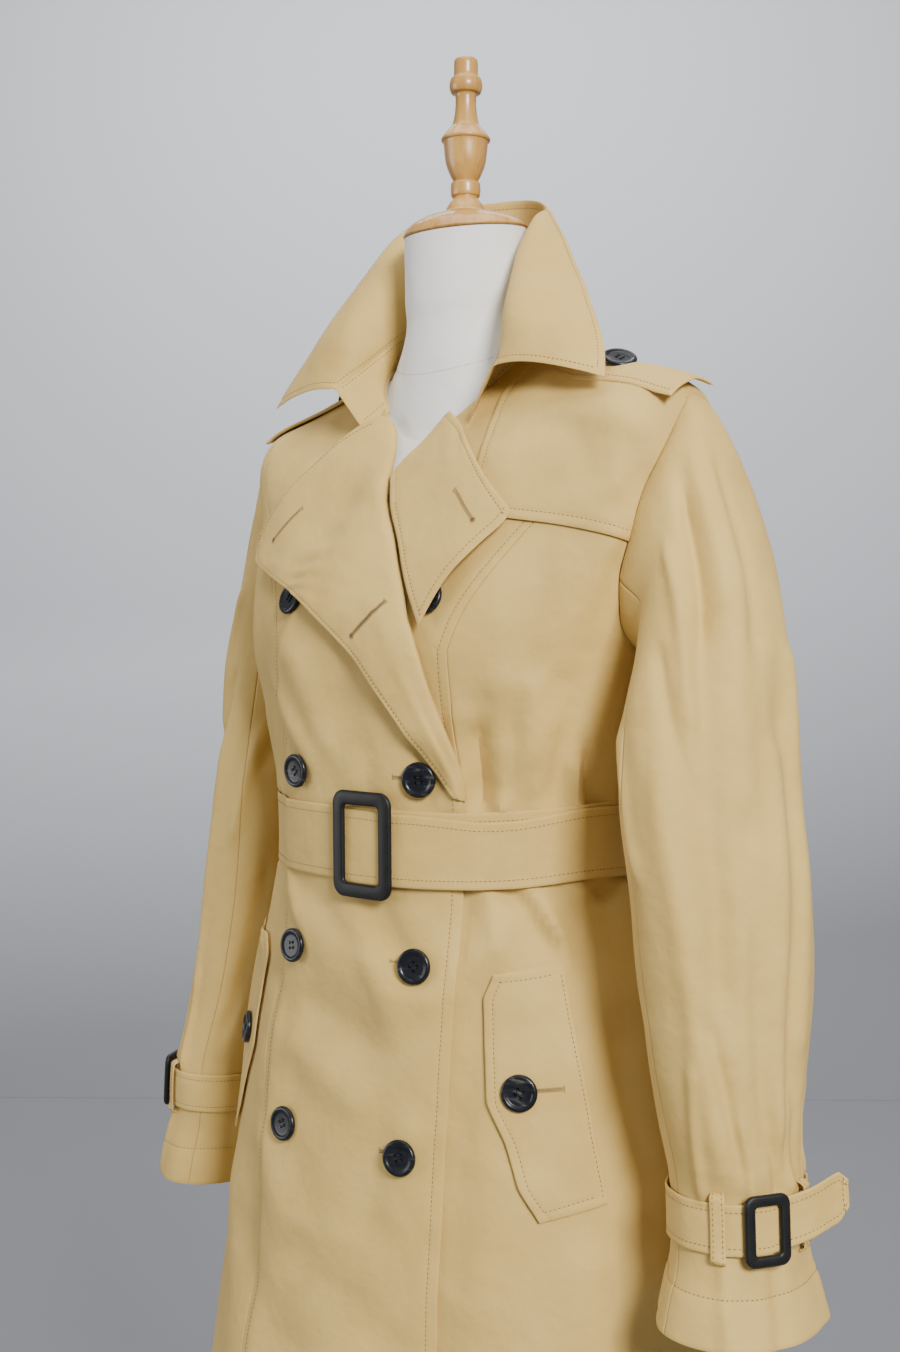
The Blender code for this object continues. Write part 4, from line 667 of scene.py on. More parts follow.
def wave(x, y, z, terms):
    """A slow unevenness: a few long waves of cloth that never lies quite smooth."""
    return sum(size * np.sin(side * x + fore * y + up * z + start)
               for size, side, fore, up, start in terms)


# The body's surface


def hoop(angle, level):
    rise, half_width, front, back, middle, front_drop, back_drop, fullness = np.moveaxis(
        smooth(HOOPS, level), -1, 0)
    sine, cosine = np.sin(np.radians(angle)), np.cos(np.radians(angle))
    power = 2 / fullness
    depth = np.where(cosine > 0, front, back)
    drop = np.where(cosine > 0, front_drop, back_drop)
    spread = np.exp(-(((level - DROP_LEVEL) / DROP_SPREAD) ** 2))
    right_drop = RIGHT_SHOULDER_DROP * np.maximum(-sine, 0.0) * spread
    return np.stack((np.copysign(half_width * np.abs(sine) ** power, sine),
                     middle - np.copysign(depth * np.abs(cosine) ** power, cosine),
                     rise - drop * cosine * cosine - right_drop), -1)


def unit(vectors):
    return vectors / np.maximum(np.linalg.norm(vectors, axis=-1, keepdims=True), 1e-12)


def hoop_normal(angle, level):
    upper = np.minimum(level + NORMAL_LEVEL_STEP, NECK_LEVEL)
    lower = np.maximum(level - NORMAL_LEVEL_STEP, 0.0)
    along = hoop(angle + NORMAL_ANGLE_STEP, level) - hoop(angle - NORMAL_ANGLE_STEP, level)
    return unit(np.cross(along, hoop(angle, upper) - hoop(angle, lower)))


def fold_lift(folds, angle, height, degree, taper=FOLD_TAPER, wide=1.0):
    lift = np.zeros(np.broadcast(angle, height).shape)
    for first_angle, first, last_angle, last, half_width, depth in folds:
        turn = (angle - first_angle + 180) % 360 - 180
        run_x = (last_angle - first_angle) * degree
        run_z = last - first
        length = math.hypot(run_x, run_z)
        along = (turn * degree * run_x + (height - first) * run_z) / length
        across = (turn * degree * run_z - (height - first) * run_x) / length
        outside = np.maximum(np.maximum(-along, along - length), 0.0)
        lift += depth * np.exp(-((outside / taper) ** 2) - (across / half_width / wide) ** 2)
    return lift


def crease_lift(creases, angle, height, degree, wide=1.0):
    """The lift of a table of creases, whose heights, widths and depths are millimetres."""
    table = np.array(creases) / (1, 1000, 1, 1000, 1000, 1000)
    return fold_lift(table.tolist(), angle, height, degree, CREASE_TAPER, wide)


def body(angle, level, out=0.0):
    angle, level = np.broadcast_arrays(np.asarray(angle, float), np.asarray(level, float))
    base = hoop(angle, level)
    height = base[..., 2]
    off_belt = np.abs(height - BELT_MIDDLE) - BELT_HEIGHT / 2
    lift = fold_lift(BODY_FOLDS, angle, height, BODY_DEGREE)
    lift += wave(*np.moveaxis(base, -1, 0), BODY_WAVES)
    lift *= ease(off_belt / FOLD_FADE)
    creases = crease_lift(BODY_CREASES, angle, height, BODY_DEGREE, CREASE_WIDTH)
    creases = creases * np.where(creases > 0, *CREASE_GAIN)
    lift += creases * ease((off_belt + CREASE_START) / CREASE_RUN)
    return base + hoop_normal(angle, level) * np.asarray(out + lift)[..., None]


def angle_at(distance, level):
    columns = smooth(HOOPS, level)
    share = np.minimum(np.abs(distance) / columns[..., 1], 1.0)
    return np.copysign(np.degrees(np.arcsin(share ** (columns[..., 7] / 2))), distance)


def level_at(height):
    height = np.asarray(height, float)
    return bisect(np.zeros(height.shape), np.full(height.shape, NECK_LEVEL),
                  lambda level: smooth(HOOPS, level)[..., 0] < height)


def front_place(distance, height):
    distance, height = np.broadcast_arrays(np.asarray(distance, float), np.asarray(height, float))
    level = bisect(np.zeros(distance.shape), np.full(distance.shape, NECK_LEVEL),
                   lambda trial: hoop(angle_at(distance, trial), trial)[..., 2] < height)
    return angle_at(distance, level), level


def shoulder_angle(fore, level):
    columns = smooth(HOOPS, level)
    front, back, middle, fullness = (columns[..., index] for index in (2, 3, 4, 7))
    depth = np.where(fore < middle, front, back)
    share = np.minimum(np.abs(fore - middle) / depth, 1.0)
    turn = np.degrees(np.arcsin(share ** (fullness / 2)))
    return 90 - np.copysign(turn, middle - fore)


def shoulder_place(distance, fore):
    distance, fore = np.broadcast_arrays(np.asarray(distance, float), np.asarray(fore, float))
    level = bisect(np.full(distance.shape, TIP_LEVEL), np.full(distance.shape, NECK_LEVEL),
                   lambda trial: hoop(shoulder_angle(fore, trial), trial)[..., 0] > distance)
    return shoulder_angle(fore, level), level


# Meshes


def between(at, keys, table):
    """Every column of a table, read at values of its keys."""
    return np.stack([np.interp(at, keys, column) for column in np.asarray(table).T], -1)


def arc_lengths(points, axis):
    steps = np.linalg.norm(np.diff(points, axis=axis), axis=-1)
    start = np.zeros_like(np.take(steps, [0], axis=axis))
    return np.cumsum(np.concatenate((start, steps), axis=axis), axis=axis)


def numbered(grid):
    return np.arange(grid.shape[0] * grid.shape[1]).reshape(grid.shape[:2])


def quads(index, wrap_rows=False, wrap_columns=False):
    """Faces between the neighbours in a grid of point numbers, open or wrapped round."""
    right = np.roll(index, -1, 1)
    faces = np.stack((index, right, np.roll(right, -1, 0), np.roll(index, -1, 0)), -1)
    return faces[:None if wrap_rows else -1, :None if wrap_columns else -1].reshape(-1, 4)


def link(name, mesh, material, smooth_angle=None):
    mesh.materials.append(material)
    mesh.shade_smooth()
    if smooth_angle:
        mesh.set_sharp_from_angle(angle=math.radians(smooth_angle))
    piece = place_object(name + "_look", mesh)
    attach(piece, "root")
    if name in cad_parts:
        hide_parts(name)
    return piece


def mesh_of(name, points, faces, uv=None):
    mesh = bpy.data.meshes.new(name)
    mesh.from_pydata([tuple(point) for point in points], [], [tuple(face) for face in faces])
    if uv is not None:
        layer = mesh.uv_layers.new(name="cloth")
        corners = np.empty(len(mesh.loops), int)
        mesh.loops.foreach_get("vertex_index", corners)
        layer.data.foreach_set("uv", uv[corners].astype(np.float32).ravel())
    return mesh


def turn_outward(mesh):
    work = bmesh.new()
    work.from_mesh(mesh)
    bmesh.ops.recalc_face_normals(work, faces=work.faces)
    work.to_mesh(mesh)
    work.free()
    return mesh


def shell(name, outer, inner, material, closed=False):
    """A closed cloth wall between two grids of points, with its cut's own plane as UV."""
    rows, columns, _ = outer.shape
    index = numbered(outer)
    count = rows * columns
    inside = quads(index, False, closed)
    faces = [inside, inside[:, ::-1] + count]

    def rim(first, second, flip):
        face = np.stack((first, first + count, second + count, second), -1)
        faces.append(face[:, ::-1] if flip else face)

    for row, flip in ((0, False), (rows - 1, True)):
        ends = index[row], np.roll(index[row], -1)
        rim(*(ends if closed else (end[:-1] for end in ends)), flip)
    if not closed:
        for column, flip in ((0, True), (columns - 1, False)):
            rim(index[:-1, column], index[1:, column], flip)
    u = arc_lengths(outer, 1)
    uv = np.stack((u - u[:, columns // 2][:, None], arc_lengths(outer, 0)), -1).reshape(-1, 2)
    mesh = mesh_of(name, np.concatenate((outer.reshape(-1, 3), inner.reshape(-1, 3))),
                   np.concatenate(faces), np.concatenate((uv, uv)))
    return link(name, turn_outward(mesh), material, 50)


def edge_reaches(points):
    """How far each point of a grid lies from each of its edges, along the cloth."""
    u, v = arc_lengths(points, 1), arc_lengths(points, 0)
    return {"left": u, "right": u[:, -1:] - u, "low": v, "high": v[-1] - v}


def edge_round(points, reach=0.0012, closed=False):
    """How full the wall is at each point: thinner at the cut edges, so that they look turned."""
    reaches = edge_reaches(points)
    away = np.minimum.reduce([reaches[side] for side in (("low", "high") if closed else reaches)])
    return 0.3 + 0.7 * np.sqrt(1 - (1 - np.clip(away / reach, 0, 1)) ** 2)


def grooves(points, lines):
    """Dips along sewn lines. Lines are (side, distance from that edge)."""
    reach = edge_reaches(points)
    dip = np.zeros(points.shape[:2])
    for side, distance in lines:
        away = (reach[side] - distance) / GROOVE_HALF_WIDTH
        dip = np.maximum(dip, np.exp(-(away ** 2)))
    return -GROOVE_DEPTH * dip


def grid_normals(points):
    normals = np.cross(np.gradient(points, axis=1), np.gradient(points, axis=0))
    return unit(normals)


def wall(name, middle, ways, material, lines=(), thick=CLOTH, closed=False, turned_edge=0.0012,
         dip_both=False):
    """A cloth wall round a grid of middle points, dipped along its sewn lines, and its outside."""
    half = (edge_round(middle, turned_edge, closed) * thick / 2)[..., None]
    dip = grooves(middle, lines)[..., None]
    outer = middle + ways * (half + dip)
    inner = middle - ways * (half + dip if dip_both else half)
    return shell(name, outer, inner, material, closed), outer


def spaced(width, left, right, step):
    """Shares of a row: close marks near both ends, even between. Width may be a column."""
    width = np.atleast_1d(np.asarray(width, float))[:, None]
    left, right = np.array(left), np.array(right)
    count = max(int(round((float(width.mean()) - left[-1] - right[-1]) / step)), 2)
    squeeze = np.minimum(1.0, width * 0.8 / (left[-1] + right[-1]))
    low = left[None] * squeeze / width
    high = 1 - right[None, ::-1] * squeeze / width
    inside = np.linspace(0, 1, count + 1)[None, 1:-1]
    middle = low[:, -1:] + (high[:, :1] - low[:, -1:]) * inside
    return np.concatenate((low, middle, high), 1)


def refine(places, per, corners=()):
    """Finer places along an edge, smooth but for its corners."""
    table = np.array(places, float)
    marks = [0, *corners, len(table) - 1]
    runs = []
    for first, last in zip(marks, marks[1:]):
        part = table[first:last + 1]
        run = smooth(part, np.linspace(0, len(part) - 1, (len(part) - 1) * per + 1))
        runs.append(run if not runs else run[1:])
    return np.concatenate(runs)


class Threads:
    """Stitches and other short threads, gathered into one piece."""

    def __init__(self, name, length=0.0022, pitch=0.0031, width=0.00062, height=0.00034):
        self.name, self.length, self.pitch = name, length, pitch
        self.width, self.height = width, height
        self.points, self.faces = [], []

    def line(self, points, normals, out=0.0001):
        """Stitches along a line of points."""
        run = np.concatenate(([0], np.cumsum(np.linalg.norm(np.diff(points, axis=0), axis=1))))
        count = int(run[-1] / self.pitch)
        if count < 1:
            return
        middles = (np.arange(count) + 0.5) * run[-1] / count
        half = self.length / 2
        self.add(between(middles - half, run, points), between(middles + half, run, points),
                 unit(between(middles, run, normals)), out)

    def add(self, starts, ends, out_way, out=0.0001):
        """Threads from starts to ends, each a slim double cone."""
        side = unit(np.cross(out_way, unit(ends - starts))) * self.width / 2
        up = out_way * self.height
        lift = out_way * out
        middle = (starts + ends) / 2 + lift
        rows = np.stack((starts + lift, ends + lift, middle + side, middle - side,
                         middle + up, middle - up * 0.5), 1)
        pattern = np.array(((0, 2, 4), (2, 1, 4), (1, 3, 4), (3, 0, 4),
                            (2, 0, 5), (1, 2, 5), (3, 1, 5), (0, 3, 5)))
        firsts = 6 * (len(self.points) + np.arange(len(rows)))
        self.points.extend(rows)
        self.faces.append((pattern + firsts[:, None, None]).reshape(-1, 3))

    def make(self, material):
        mesh = mesh_of(self.name, np.concatenate(self.points), np.concatenate(self.faces))
        return link(self.name, mesh, material)


# Panels of the body


def marks(stitch=None):
    """Distances from a panel's edge at which it has a column."""
    return [*EDGE_MARKS, *(stitch + more for more in STITCH_MARKS if stitch)]


def sew(threads, points, ways, side, distance, skip=0, least=1.6):
    """Stitches inside an edge of a grid, past the lines that are too short to reach them."""
    reach = edge_reaches(points)[side]
    if side in ("low", "high"):
        points, ways, reach = points.transpose(1, 0, 2), ways.transpose(1, 0, 2), reach.T
    line = []
    for row in range(skip, len(points) - skip):
        if reach[row].max() >= distance * least:
            order = np.argsort(reach[row])
            both = np.concatenate((points[row], ways[row]), 1)
            line.append(between(distance, reach[row][order], both[order]))
    if len(line) > 1:
        line = np.array(line)
        threads.line(line[:, :3], line[:, 3:])


def sew_panel(threads, outer, side, distance, skip):
    sew(threads, outer, grid_normals(outer), side, distance, skip, 0.0)


def panel(name, left_edge, right_edge, out, material, left=None, right=None, lines=(),
          step=0.0042):
    """A panel between two edges of (angle, level) places; out is its lift. Returns its points."""
    left_edge, right_edge = np.array(left_edge), np.array(right_edge)
    ends = hoop(right_edge[:, 0], right_edge[:, 1]) - hoop(left_edge[:, 0], left_edge[:, 1])
    width = np.maximum(np.linalg.norm(ends, axis=1), 0.004)
    inset = TINY / width[:, None]
    share = inset + (1 - 2 * inset) * spaced(width, marks(left), marks(right), step)
    angle = left_edge[:, :1] + (right_edge[:, :1] - left_edge[:, :1]) * share
    level = left_edge[:, 1:] + (right_edge[:, 1:] - left_edge[:, 1:]) * share
    return wall(name, body(angle, level, out(angle, level)), hoop_normal(angle, level), material,
                lines)


def mirrored(places):
    return [(-angle, level) for angle, level in places]


def own_side(places, side):
    return places if side == "left" else mirrored(places)


def front_edge_places(table):
    places = []
    for level in LOW_LEVELS:
        height = smooth(HOOPS, level)[0]
        places.append((float(angle_at(-keyed(table, height), np.float64(level))), level))
    first = smooth(HOOPS, LOW_LEVELS[-1])[0]
    top = table[-1][0]
    roll_rows = ARMHOLE_STEPS - 2
    for row in range(1, roll_rows + 1):
        height = first + (top - first) * row / roll_rows
        angle, level = front_place(-keyed(table, height), height)
        places.append((float(angle), float(level)))
    corner, level = places[-1]
    places.append(((corner + 90) / 2, (level + NECK_LEVEL) / 2))
    places.append((90.0, NECK_LEVEL))
    return places


def princess_places():
    places = []
    for level in LOW_LEVELS:
        height = smooth(HOOPS, level)[0]
        places.append((float(angle_at(keyed(PRINCESS, height), np.float64(level))), level))
    first_angle, first_level = places[-1]
    for row in range(1, ARMHOLE_STEPS + 1):
        share = row / ARMHOLE_STEPS
        places.append((first_angle + (90 - first_angle) * share ** PRINCESS_BEND,
                       first_level + (PRINCESS_TOP_LEVEL - first_level) * share))
    return places


def armhole_place(turn):
    cosine = np.cos(np.radians(turn))
    reach = np.where(cosine > 0, ARMHOLE_FRONT, ARMHOLE_BACK)
    middle = (TIP_LEVEL + UNDERARM_LEVEL) / 2
    half = (TIP_LEVEL - UNDERARM_LEVEL) / 2
    return 90 - reach * cosine, middle + half * np.sin(np.radians(turn))


def armhole_places(first, last):
    turns = np.linspace(first, last, ARMHOLE_STEPS + 1)
    angles, levels = armhole_place(turns)
    return list(zip(angles.tolist(), levels.tolist()))


def right_front_lift(angle, level):
    point = hoop(angle, level)
    across = keyed(UNDERLAP, point[..., 2])
    over = ease((point[..., 0] + across + LAP_START) / LAP_RUN)
    return LAP * over * (1 - ease((point[..., 2] - V_HEIGHT) / LAP_TOP_RUN))


def no_lift(angle, _level):
    return np.zeros(np.shape(angle))


def make_body(cloth, threads):
    low = len(LOW_LEVELS) - 1
    princess = refine(princess_places(), 10, (low,))
    side = [(90.0, level) for level in LOW_LEVELS[:-1]]
    shoulder = [(90.0, TIP_LEVEL + (NECK_LEVEL - TIP_LEVEL) * row / SHOULDER_STEPS)
                for row in range(1, SHOULDER_STEPS + 1)]
    rows = ARMHOLE_STEPS + SHOULDER_STEPS
    centre = [(180.0, level) for level in LOW_LEVELS]
    centre += [(180.0, UNDERARM_LEVEL + (NECK_LEVEL - UNDERARM_LEVEL) * row / rows)
               for row in range(1, rows + 1)]
    side_front = refine(side + armhole_places(-90, 90), 10, (low,))
    side_back = refine(side + armhole_places(270, 90) + shoulder, 10, (low, low + ARMHOLE_STEPS))
    centre = refine(centre, 10, (low,))
    under, over = (refine(front_edge_places(table), 10, (low, low + ARMHOLE_STEPS - 2))
                   for table in (UNDERLAP, OVERLAP))
    hem = ("low", HEM_STITCH)
    made = {
        "left_front": panel("left_front", under, princess, no_lift, cloth, right=SEAM_STITCH,
                            lines=(("right", SEAM_STITCH), hem)),
        "right_front": panel("right_front", mirrored(princess), mirrored(over), right_front_lift,
                             cloth, left=SEAM_STITCH, right=EDGE_STITCH,
                             lines=(("left", SEAM_STITCH), ("right", EDGE_STITCH), hem)),
    }
    for name, is_left in (("left", True), ("right", False)):
        made[name + "_side_front"] = panel(
            name + "_side_front", own_side(princess, name), own_side(side_front, name), no_lift,
            cloth, lines=(hem,))
        made[name + "_back"] = panel(
            name + "_back", own_side(side_back, name), own_side(centre, name), no_lift, cloth,
            right=SEAM_STITCH if is_left else None,
            lines=(hem, ("right", SEAM_STITCH)) if is_left else (hem,))
    sew_panel(threads, made["left_front"][1], "right", SEAM_STITCH, 2)
    sew_panel(threads, made["right_front"][1], "left", SEAM_STITCH, 2)
    sew_panel(threads, made["right_front"][1][:OVERLAP_SEWN_ROWS], "right", EDGE_STITCH, 1)
    sew_panel(threads, made["left_back"][1], "right", SEAM_STITCH, 2)
    for _, outer in made.values():
        sew_panel(threads, outer, "low", HEM_STITCH, 1)
    return {name: piece for name, (piece, _) in made.items()}


# What lies on the body


def lapel_lift(distance, height, share, clearance):
    crown = LAPEL_CROWN + (LAPEL_EDGE - LAPEL_CROWN) * share ** 2
    return LAP + (crown - LAP) * clearance(distance, height)


def lapel(side, rows, count, columns, base_lift, clearance, material, threads):
    """A turned back facing: a smooth curl out of the roll line, then flat to its edge."""
    sign = 1 if side == "left" else -1
    table = smooth(rows, np.linspace(0, len(rows) - 1, count))
    heights = table[:, 0]
    start = np.stack((-keyed(OVERLAP, heights), heights), -1)
    middle, edge = table[:, 1:3], table[:, 3:5]
    direction = unit(middle - start)
    grow = np.minimum(np.linalg.norm(edge - start, axis=1) / CURL_REACH, 1.0)
    closing = CLOSED_SHARE + (1 - CLOSED_SHARE) * ease((heights - CLOSE_START) / CLOSE_RUN)
    stations = []
    for across, lift in LAPEL_ROLL:
        out = across * (grow if across > 0 else closing)
        if side == "left":
            out = out - LEFT_TUCK * ease((LEFT_TUCK_START - heights) / LEFT_TUCK_RUN)
        spot = start + direction * out[:, None]
        low = CURL_LOW + (1 - CURL_LOW) * clearance(spot[:, 0], spot[:, 1])
        stations.append((spot, lift * low * closing))
    for share in LAPEL_SHARES:
        spot = (1 - share) ** 2 * start + 2 * share * (1 - share) * middle + share ** 2 * edge
        stations.append((spot, lapel_lift(spot[:, 0], spot[:, 1], share, clearance) * closing))
    lines = []
    for spot, lift in stations:
        angle, level = front_place(sign * spot[:, 0], spot[:, 1])
        lines.append(body(angle, level, base_lift(angle, level) + lift))
    bent = len(LAPEL_ROLL)
    place = np.concatenate((np.linspace(0, bent, bent * ROLL_COLUMNS + 1),
                            np.linspace(bent, len(stations) - 1, columns)[1:]))
    grid = np.array([smooth(row, place) for row in np.stack(lines, 1)])
    ways = grid_normals(grid) * sign
    grid = grid + ways * wave(*np.moveaxis(grid, -1, 0), COLLAR_WAVES)[..., None]
    piece, _ = wall(side + "_lapel", grid, grid_normals(grid) * sign, material,
                    [(name, LAPEL_STITCH) for name in ("right", "low", "high")])
    outer = grid + ways * CLOTH / 2
    flat = (slice(None), slice(bent * ROLL_COLUMNS, None))
    sew(threads, outer, ways, "right", LAPEL_STITCH, 3)
    sew(threads, outer[flat], ways[flat], "high", LAPEL_STITCH, 1)
    if side == "left":
        sew(threads, outer[flat], ways[flat], "low", LAPEL_STITCH, 1)
    return piece, grid, ways


def always_clear(distance, _height):
    return np.ones(np.shape(distance))


def clear_of_right_front(distance, height):
    return ease((distance - keyed(OVERLAP, height) + CLEAR_START) / CLEAR_RUN)


def flap_lift(angle, _level):
    return np.full(np.shape(angle), FLAP_LIFT - 0.0008)


def make_gun_flap(cloth, threads):
    front = [tuple(float(value) for value in front_place(*spot)) for spot in FLAP_FRONT]
    front += [((front[-1][0] + 90) / 2, FLAP_TOP_LEVELS[0]), (90.0, FLAP_TOP_LEVELS[1])]
    turns = np.linspace(FLAP_START_TURN, 90, FLAP_ROWS + 1)
    angles, levels = armhole_place(turns)
    short = list(zip((angles - 0.5 * np.cos(np.radians(turns))).tolist(), levels.tolist()))
    front = refine(front, 16)
    piece, outer = panel("gun_flap", front, refine(short, 22)[:len(front)], flap_lift, cloth,
                         left=dict(FLAP_STITCHES)["left"], lines=FLAP_STITCHES)
    (low, low_distance), (left, left_distance) = FLAP_STITCHES
    sew_panel(threads, outer, low, low_distance, 3)
    sew_panel(threads, outer[:FLAP_SEWN_ROWS], left, left_distance, 3)
    return piece


# The collar


def collar_table():
    left = np.array(COLLAR)
    right = left[-2::-1] * (-1, -1, 1, 1, -1, 1, 1, -1, 1, 1)
    last = len(COLLAR) - 1
    for row, rib in enumerate(right):
        rib[0] += 360
        rib[7:] += np.array(RIGHT_OPENING) * math.sin(math.pi * (row + 1) / last)
    right[-1][9] += RIGHT_TIP_RISE
    return np.concatenate((left, right))


def make_collar(cloth, threads):
    table = collar_table()
    last = len(table) - 1
    place = np.linspace(0, last, 193)
    rib = smooth(table, place)
    foot = hoop(rib[:, 0], np.full(len(rib), NECK_LEVEL))
    for beyond, end_angle, sign in ((place, COLLAR[0][0], 1), (last - place, -COLLAR[0][0], -1)):
        corner = np.array(GORGE_CORNER) * (sign, 1, 1)
        neck = hoop(np.float64(end_angle), np.float64(NECK_LEVEL))
        foot = np.where((beyond < 1)[:, None], corner + (neck - corner) * beyond[:, None], foot)
    seam, roll, edge = rib[:, 1:4], rib[:, 4:7], rib[:, 7:]
    tall = np.linalg.norm(seam - foot, axis=1)
    first = (-STAND_TUCK / tall)[:, None]
    share = first + (1 - first) * np.linspace(0, 1, 17)[None]
    stand = foot[None] + (seam - foot)[None] * share.T[..., None]
    inward = hoop_normal(rib[:, 0], np.full(len(rib), NECK_LEVEL - 0.05))
    low = 1 - ease((share.T - first.T) * tall[None] / STAND_TUCK_RUN)
    stand = stand - inward[None] * (STAND_TUCK_IN * low)[..., None]
    apart = (0.0002 / (2 * np.linalg.norm(roll - seam, axis=1)))[:, None]
    share = (apart + (1 - apart) * np.linspace(0, 1, 49)[None]).T[..., None]
    leaf = (1 - share) ** 2 * seam + 2 * share * (1 - share) * roll + share ** 2 * edge
    made = {}
    for name, grid, lines in (("collar_stand", stand, STAND_STITCHES),
                              ("collar", leaf, COLLAR_STITCHES)):
        ways = grid_normals(grid)
        uneven = wave(*np.moveaxis(grid, -1, 0), COLLAR_WAVES)
        grid = grid + ways * (uneven * np.clip(arc_lengths(grid, 0) / 0.01, 0, 1))[..., None]
        made[name], _ = wall(name, grid, ways, cloth, lines, COLLAR_THICK, dip_both=True)
        for sign in (1, -1):
            for side, distance in lines:
                sew(threads, grid + ways * sign * COLLAR_THICK / 2, ways * sign, side, distance, 3)
    return made


# Epaulettes, pockets and buttons


def make_epaulettes(cloth, threads):
    made = {}
    across = band_rows(EPAULETTE_EDGE, EPAULETTE_COLUMNS)
    rows = smooth(EPAULETTE, np.linspace(0, len(EPAULETTE) - 1, 66))
    outs = rows[:, 0]
    for side, middle in EPAULETTE_MIDDLES.items():
        sign = 1 if side == "left" else -1
        fore = middle + rows[:, 1:2] * across[None]
        angle, level = shoulder_place(np.repeat(rows[:, :1], len(across), 1), fore)
        lift = rows[:, 2:3] - EPAULETTE_LOWER[side] - EPAULETTE_DROPS[side]
        lift = lift + EPAULETTE_BOW * np.cos(across * math.pi)[None]
        lift = lift + EPAULETTE_WAVE * np.sin(rows[:, :1] * 90)
        grid = body(sign * angle, level, lift * np.ones_like(angle))
        centre = grid[:, len(across) // 2][:, None]
        flat = centre + (fore - middle)[..., None] * np.array((0, 1, 0))
        grid = grid + (flat - grid) * EPAULETTE_FLATNESS[side]
        place, reach_out, whole = EPAULETTE_STRAIGHT[side]
        bend, inner = (int(np.argmin(np.abs(outs - place + back))) for back in (0.0, EPAULETTE_RUN))
        way = (grid[bend] - grid[inner]) / (outs[bend] - outs[inner])
        beyond = np.maximum(rows[:, :1] - outs[bend], 0)[..., None]
        straight = grid[bend][None] + way[None] * beyond * reach_out
        grid = np.where(beyond > 0, grid + (straight - grid) * whole, grid)
        slant = EPAULETTE_SLANT[side] * ease(beyond / EPAULETTE_RUN)
        slant = slant * np.maximum(-across, 0)[None, :, None]
        grid = grid + slant * way[None] / np.linalg.norm(way, axis=-1)[None, :, None]
        if side == "left":
            grid = grid[:, ::-1]
        ways = grid_normals(grid)
        ways *= np.sign(ways[..., 2:3].mean())
        name = side + "_epaulette"
        lines = [(edge, EPAULETTE_STITCH) for edge in ("left", "right", "high")]
        made[name], _ = wall(name, grid, ways, cloth, lines, EPAULETTE_WALL)
        for edge, distance in lines:
            sew(threads, grid + ways * EPAULETTE_WALL / 2, ways, edge, distance, 2)
    return made


def button_mesh():
    """A rimmed four-holed disc, one unit in radius, as points and faces."""
    turns = np.linspace(0, 2 * math.pi, BUTTON_COLUMNS, endpoint=False)
    rings = np.array(BUTTON_RINGS)
    x = rings[:, None] * np.cos(turns)[None]
    y = rings[:, None] * np.sin(turns)[None]
    height = np.interp(rings, *np.array(BUTTON_FACE).T)
    z = np.repeat(height[:, None], len(turns), 1)
    for hole_x in (-HOLE_PLACE, HOLE_PLACE):
        for hole_y in (-HOLE_PLACE, HOLE_PLACE):
            away = np.hypot(x - hole_x, y - hole_y)
            z -= 0.17 * (1 - ease((away - 0.045) / 0.045))
    side = [np.stack((radius * np.cos(turns), radius * np.sin(turns),
                      np.full(len(turns), level)), -1) for radius, level in BUTTON_SIDE]
    grid = np.concatenate((np.stack((x, y, z), -1), np.array(side)))
    return grid.reshape(-1, 3), quads(numbered(grid), False, True)[:, ::-1]


def facing(point, normal, spin=0.0):
    """A turn whose Z axis is a normal and whose Y axis is upward, placed at a point."""
    out = Vector(normal).normalized()
    side = Vector((0, 0, 1)).cross(out)
    side = side.normalized() if side.length > 0.2 else Vector((0, 1, 0)).cross(out).normalized()
    turn = Matrix((side, out.cross(side), out)).transposed().to_4x4()
    return Matrix.Translation(Vector(point)) @ turn @ Matrix.Rotation(spin, 4, "Z")


def placed(points, place):
    """Points in a frame, brought into the world."""
    matrix = np.array(place)
    return points @ matrix[:3, :3].T + matrix[:3, 3]


def button(name, point, normal, material, spin=0.3):
    points, faces = button_mesh()
    place = facing(point, normal, spin)
    world = placed(points * BUTTON_RADIUS * (1, 1, 1.02), place)
    turns = np.linspace(0, 2 * math.pi, 8, endpoint=False)
    bars = np.array([[np.stack((np.full(8, along), sign * HOLE_PLACE + 0.034 * np.cos(turns),
                                rise + 0.026 * np.sin(turns)), -1) for along, rise in BUTTON_THREAD]
                     for sign in (-1, 1)])
    start = len(world)
    extra = [quads(start + number * bar[..., 0].size + numbered(bar), False, True)
             for number, bar in enumerate(bars)]
    bars = placed(bars.reshape(-1, 3) * BUTTON_RADIUS, place)
    mesh = mesh_of(name, np.concatenate((world, bars)), np.concatenate((faces, *extra)))
    layer = mesh.attributes.new("thread", "FLOAT", "POINT")
    layer.data.foreach_set("value", np.concatenate((np.zeros(start), np.ones(len(bars)))))
    return link(name, mesh, material, 40)


def on_body(place, lift):
    """The point and direction of a button on the body, clear of the cloth round its rim."""
    angle, level = place
    normal = hoop_normal(angle, level)
    middle = body(angle, level, lift(angle, level))
    degree = math.degrees(BUTTON_RADIUS / np.linalg.norm(middle[:2]))
    step = float(level_at(middle[2] + BUTTON_RADIUS) - level_at(middle[2]))
    turns = np.radians(np.arange(0, 360, 30))
    around = (angle + degree * np.cos(turns), level + step * np.sin(turns))
    rim = body(*around, lift(*around))
    rise = max(0.0, float(((rim - middle) @ normal).max()))
    return middle + normal * (rise + CLOTH / 2), normal


def pocket_lift(angle, _level):
    return np.where(np.asarray(angle) > 0, POCKET_LIFTS["left"], POCKET_LIFTS["right"]) + 0.0006


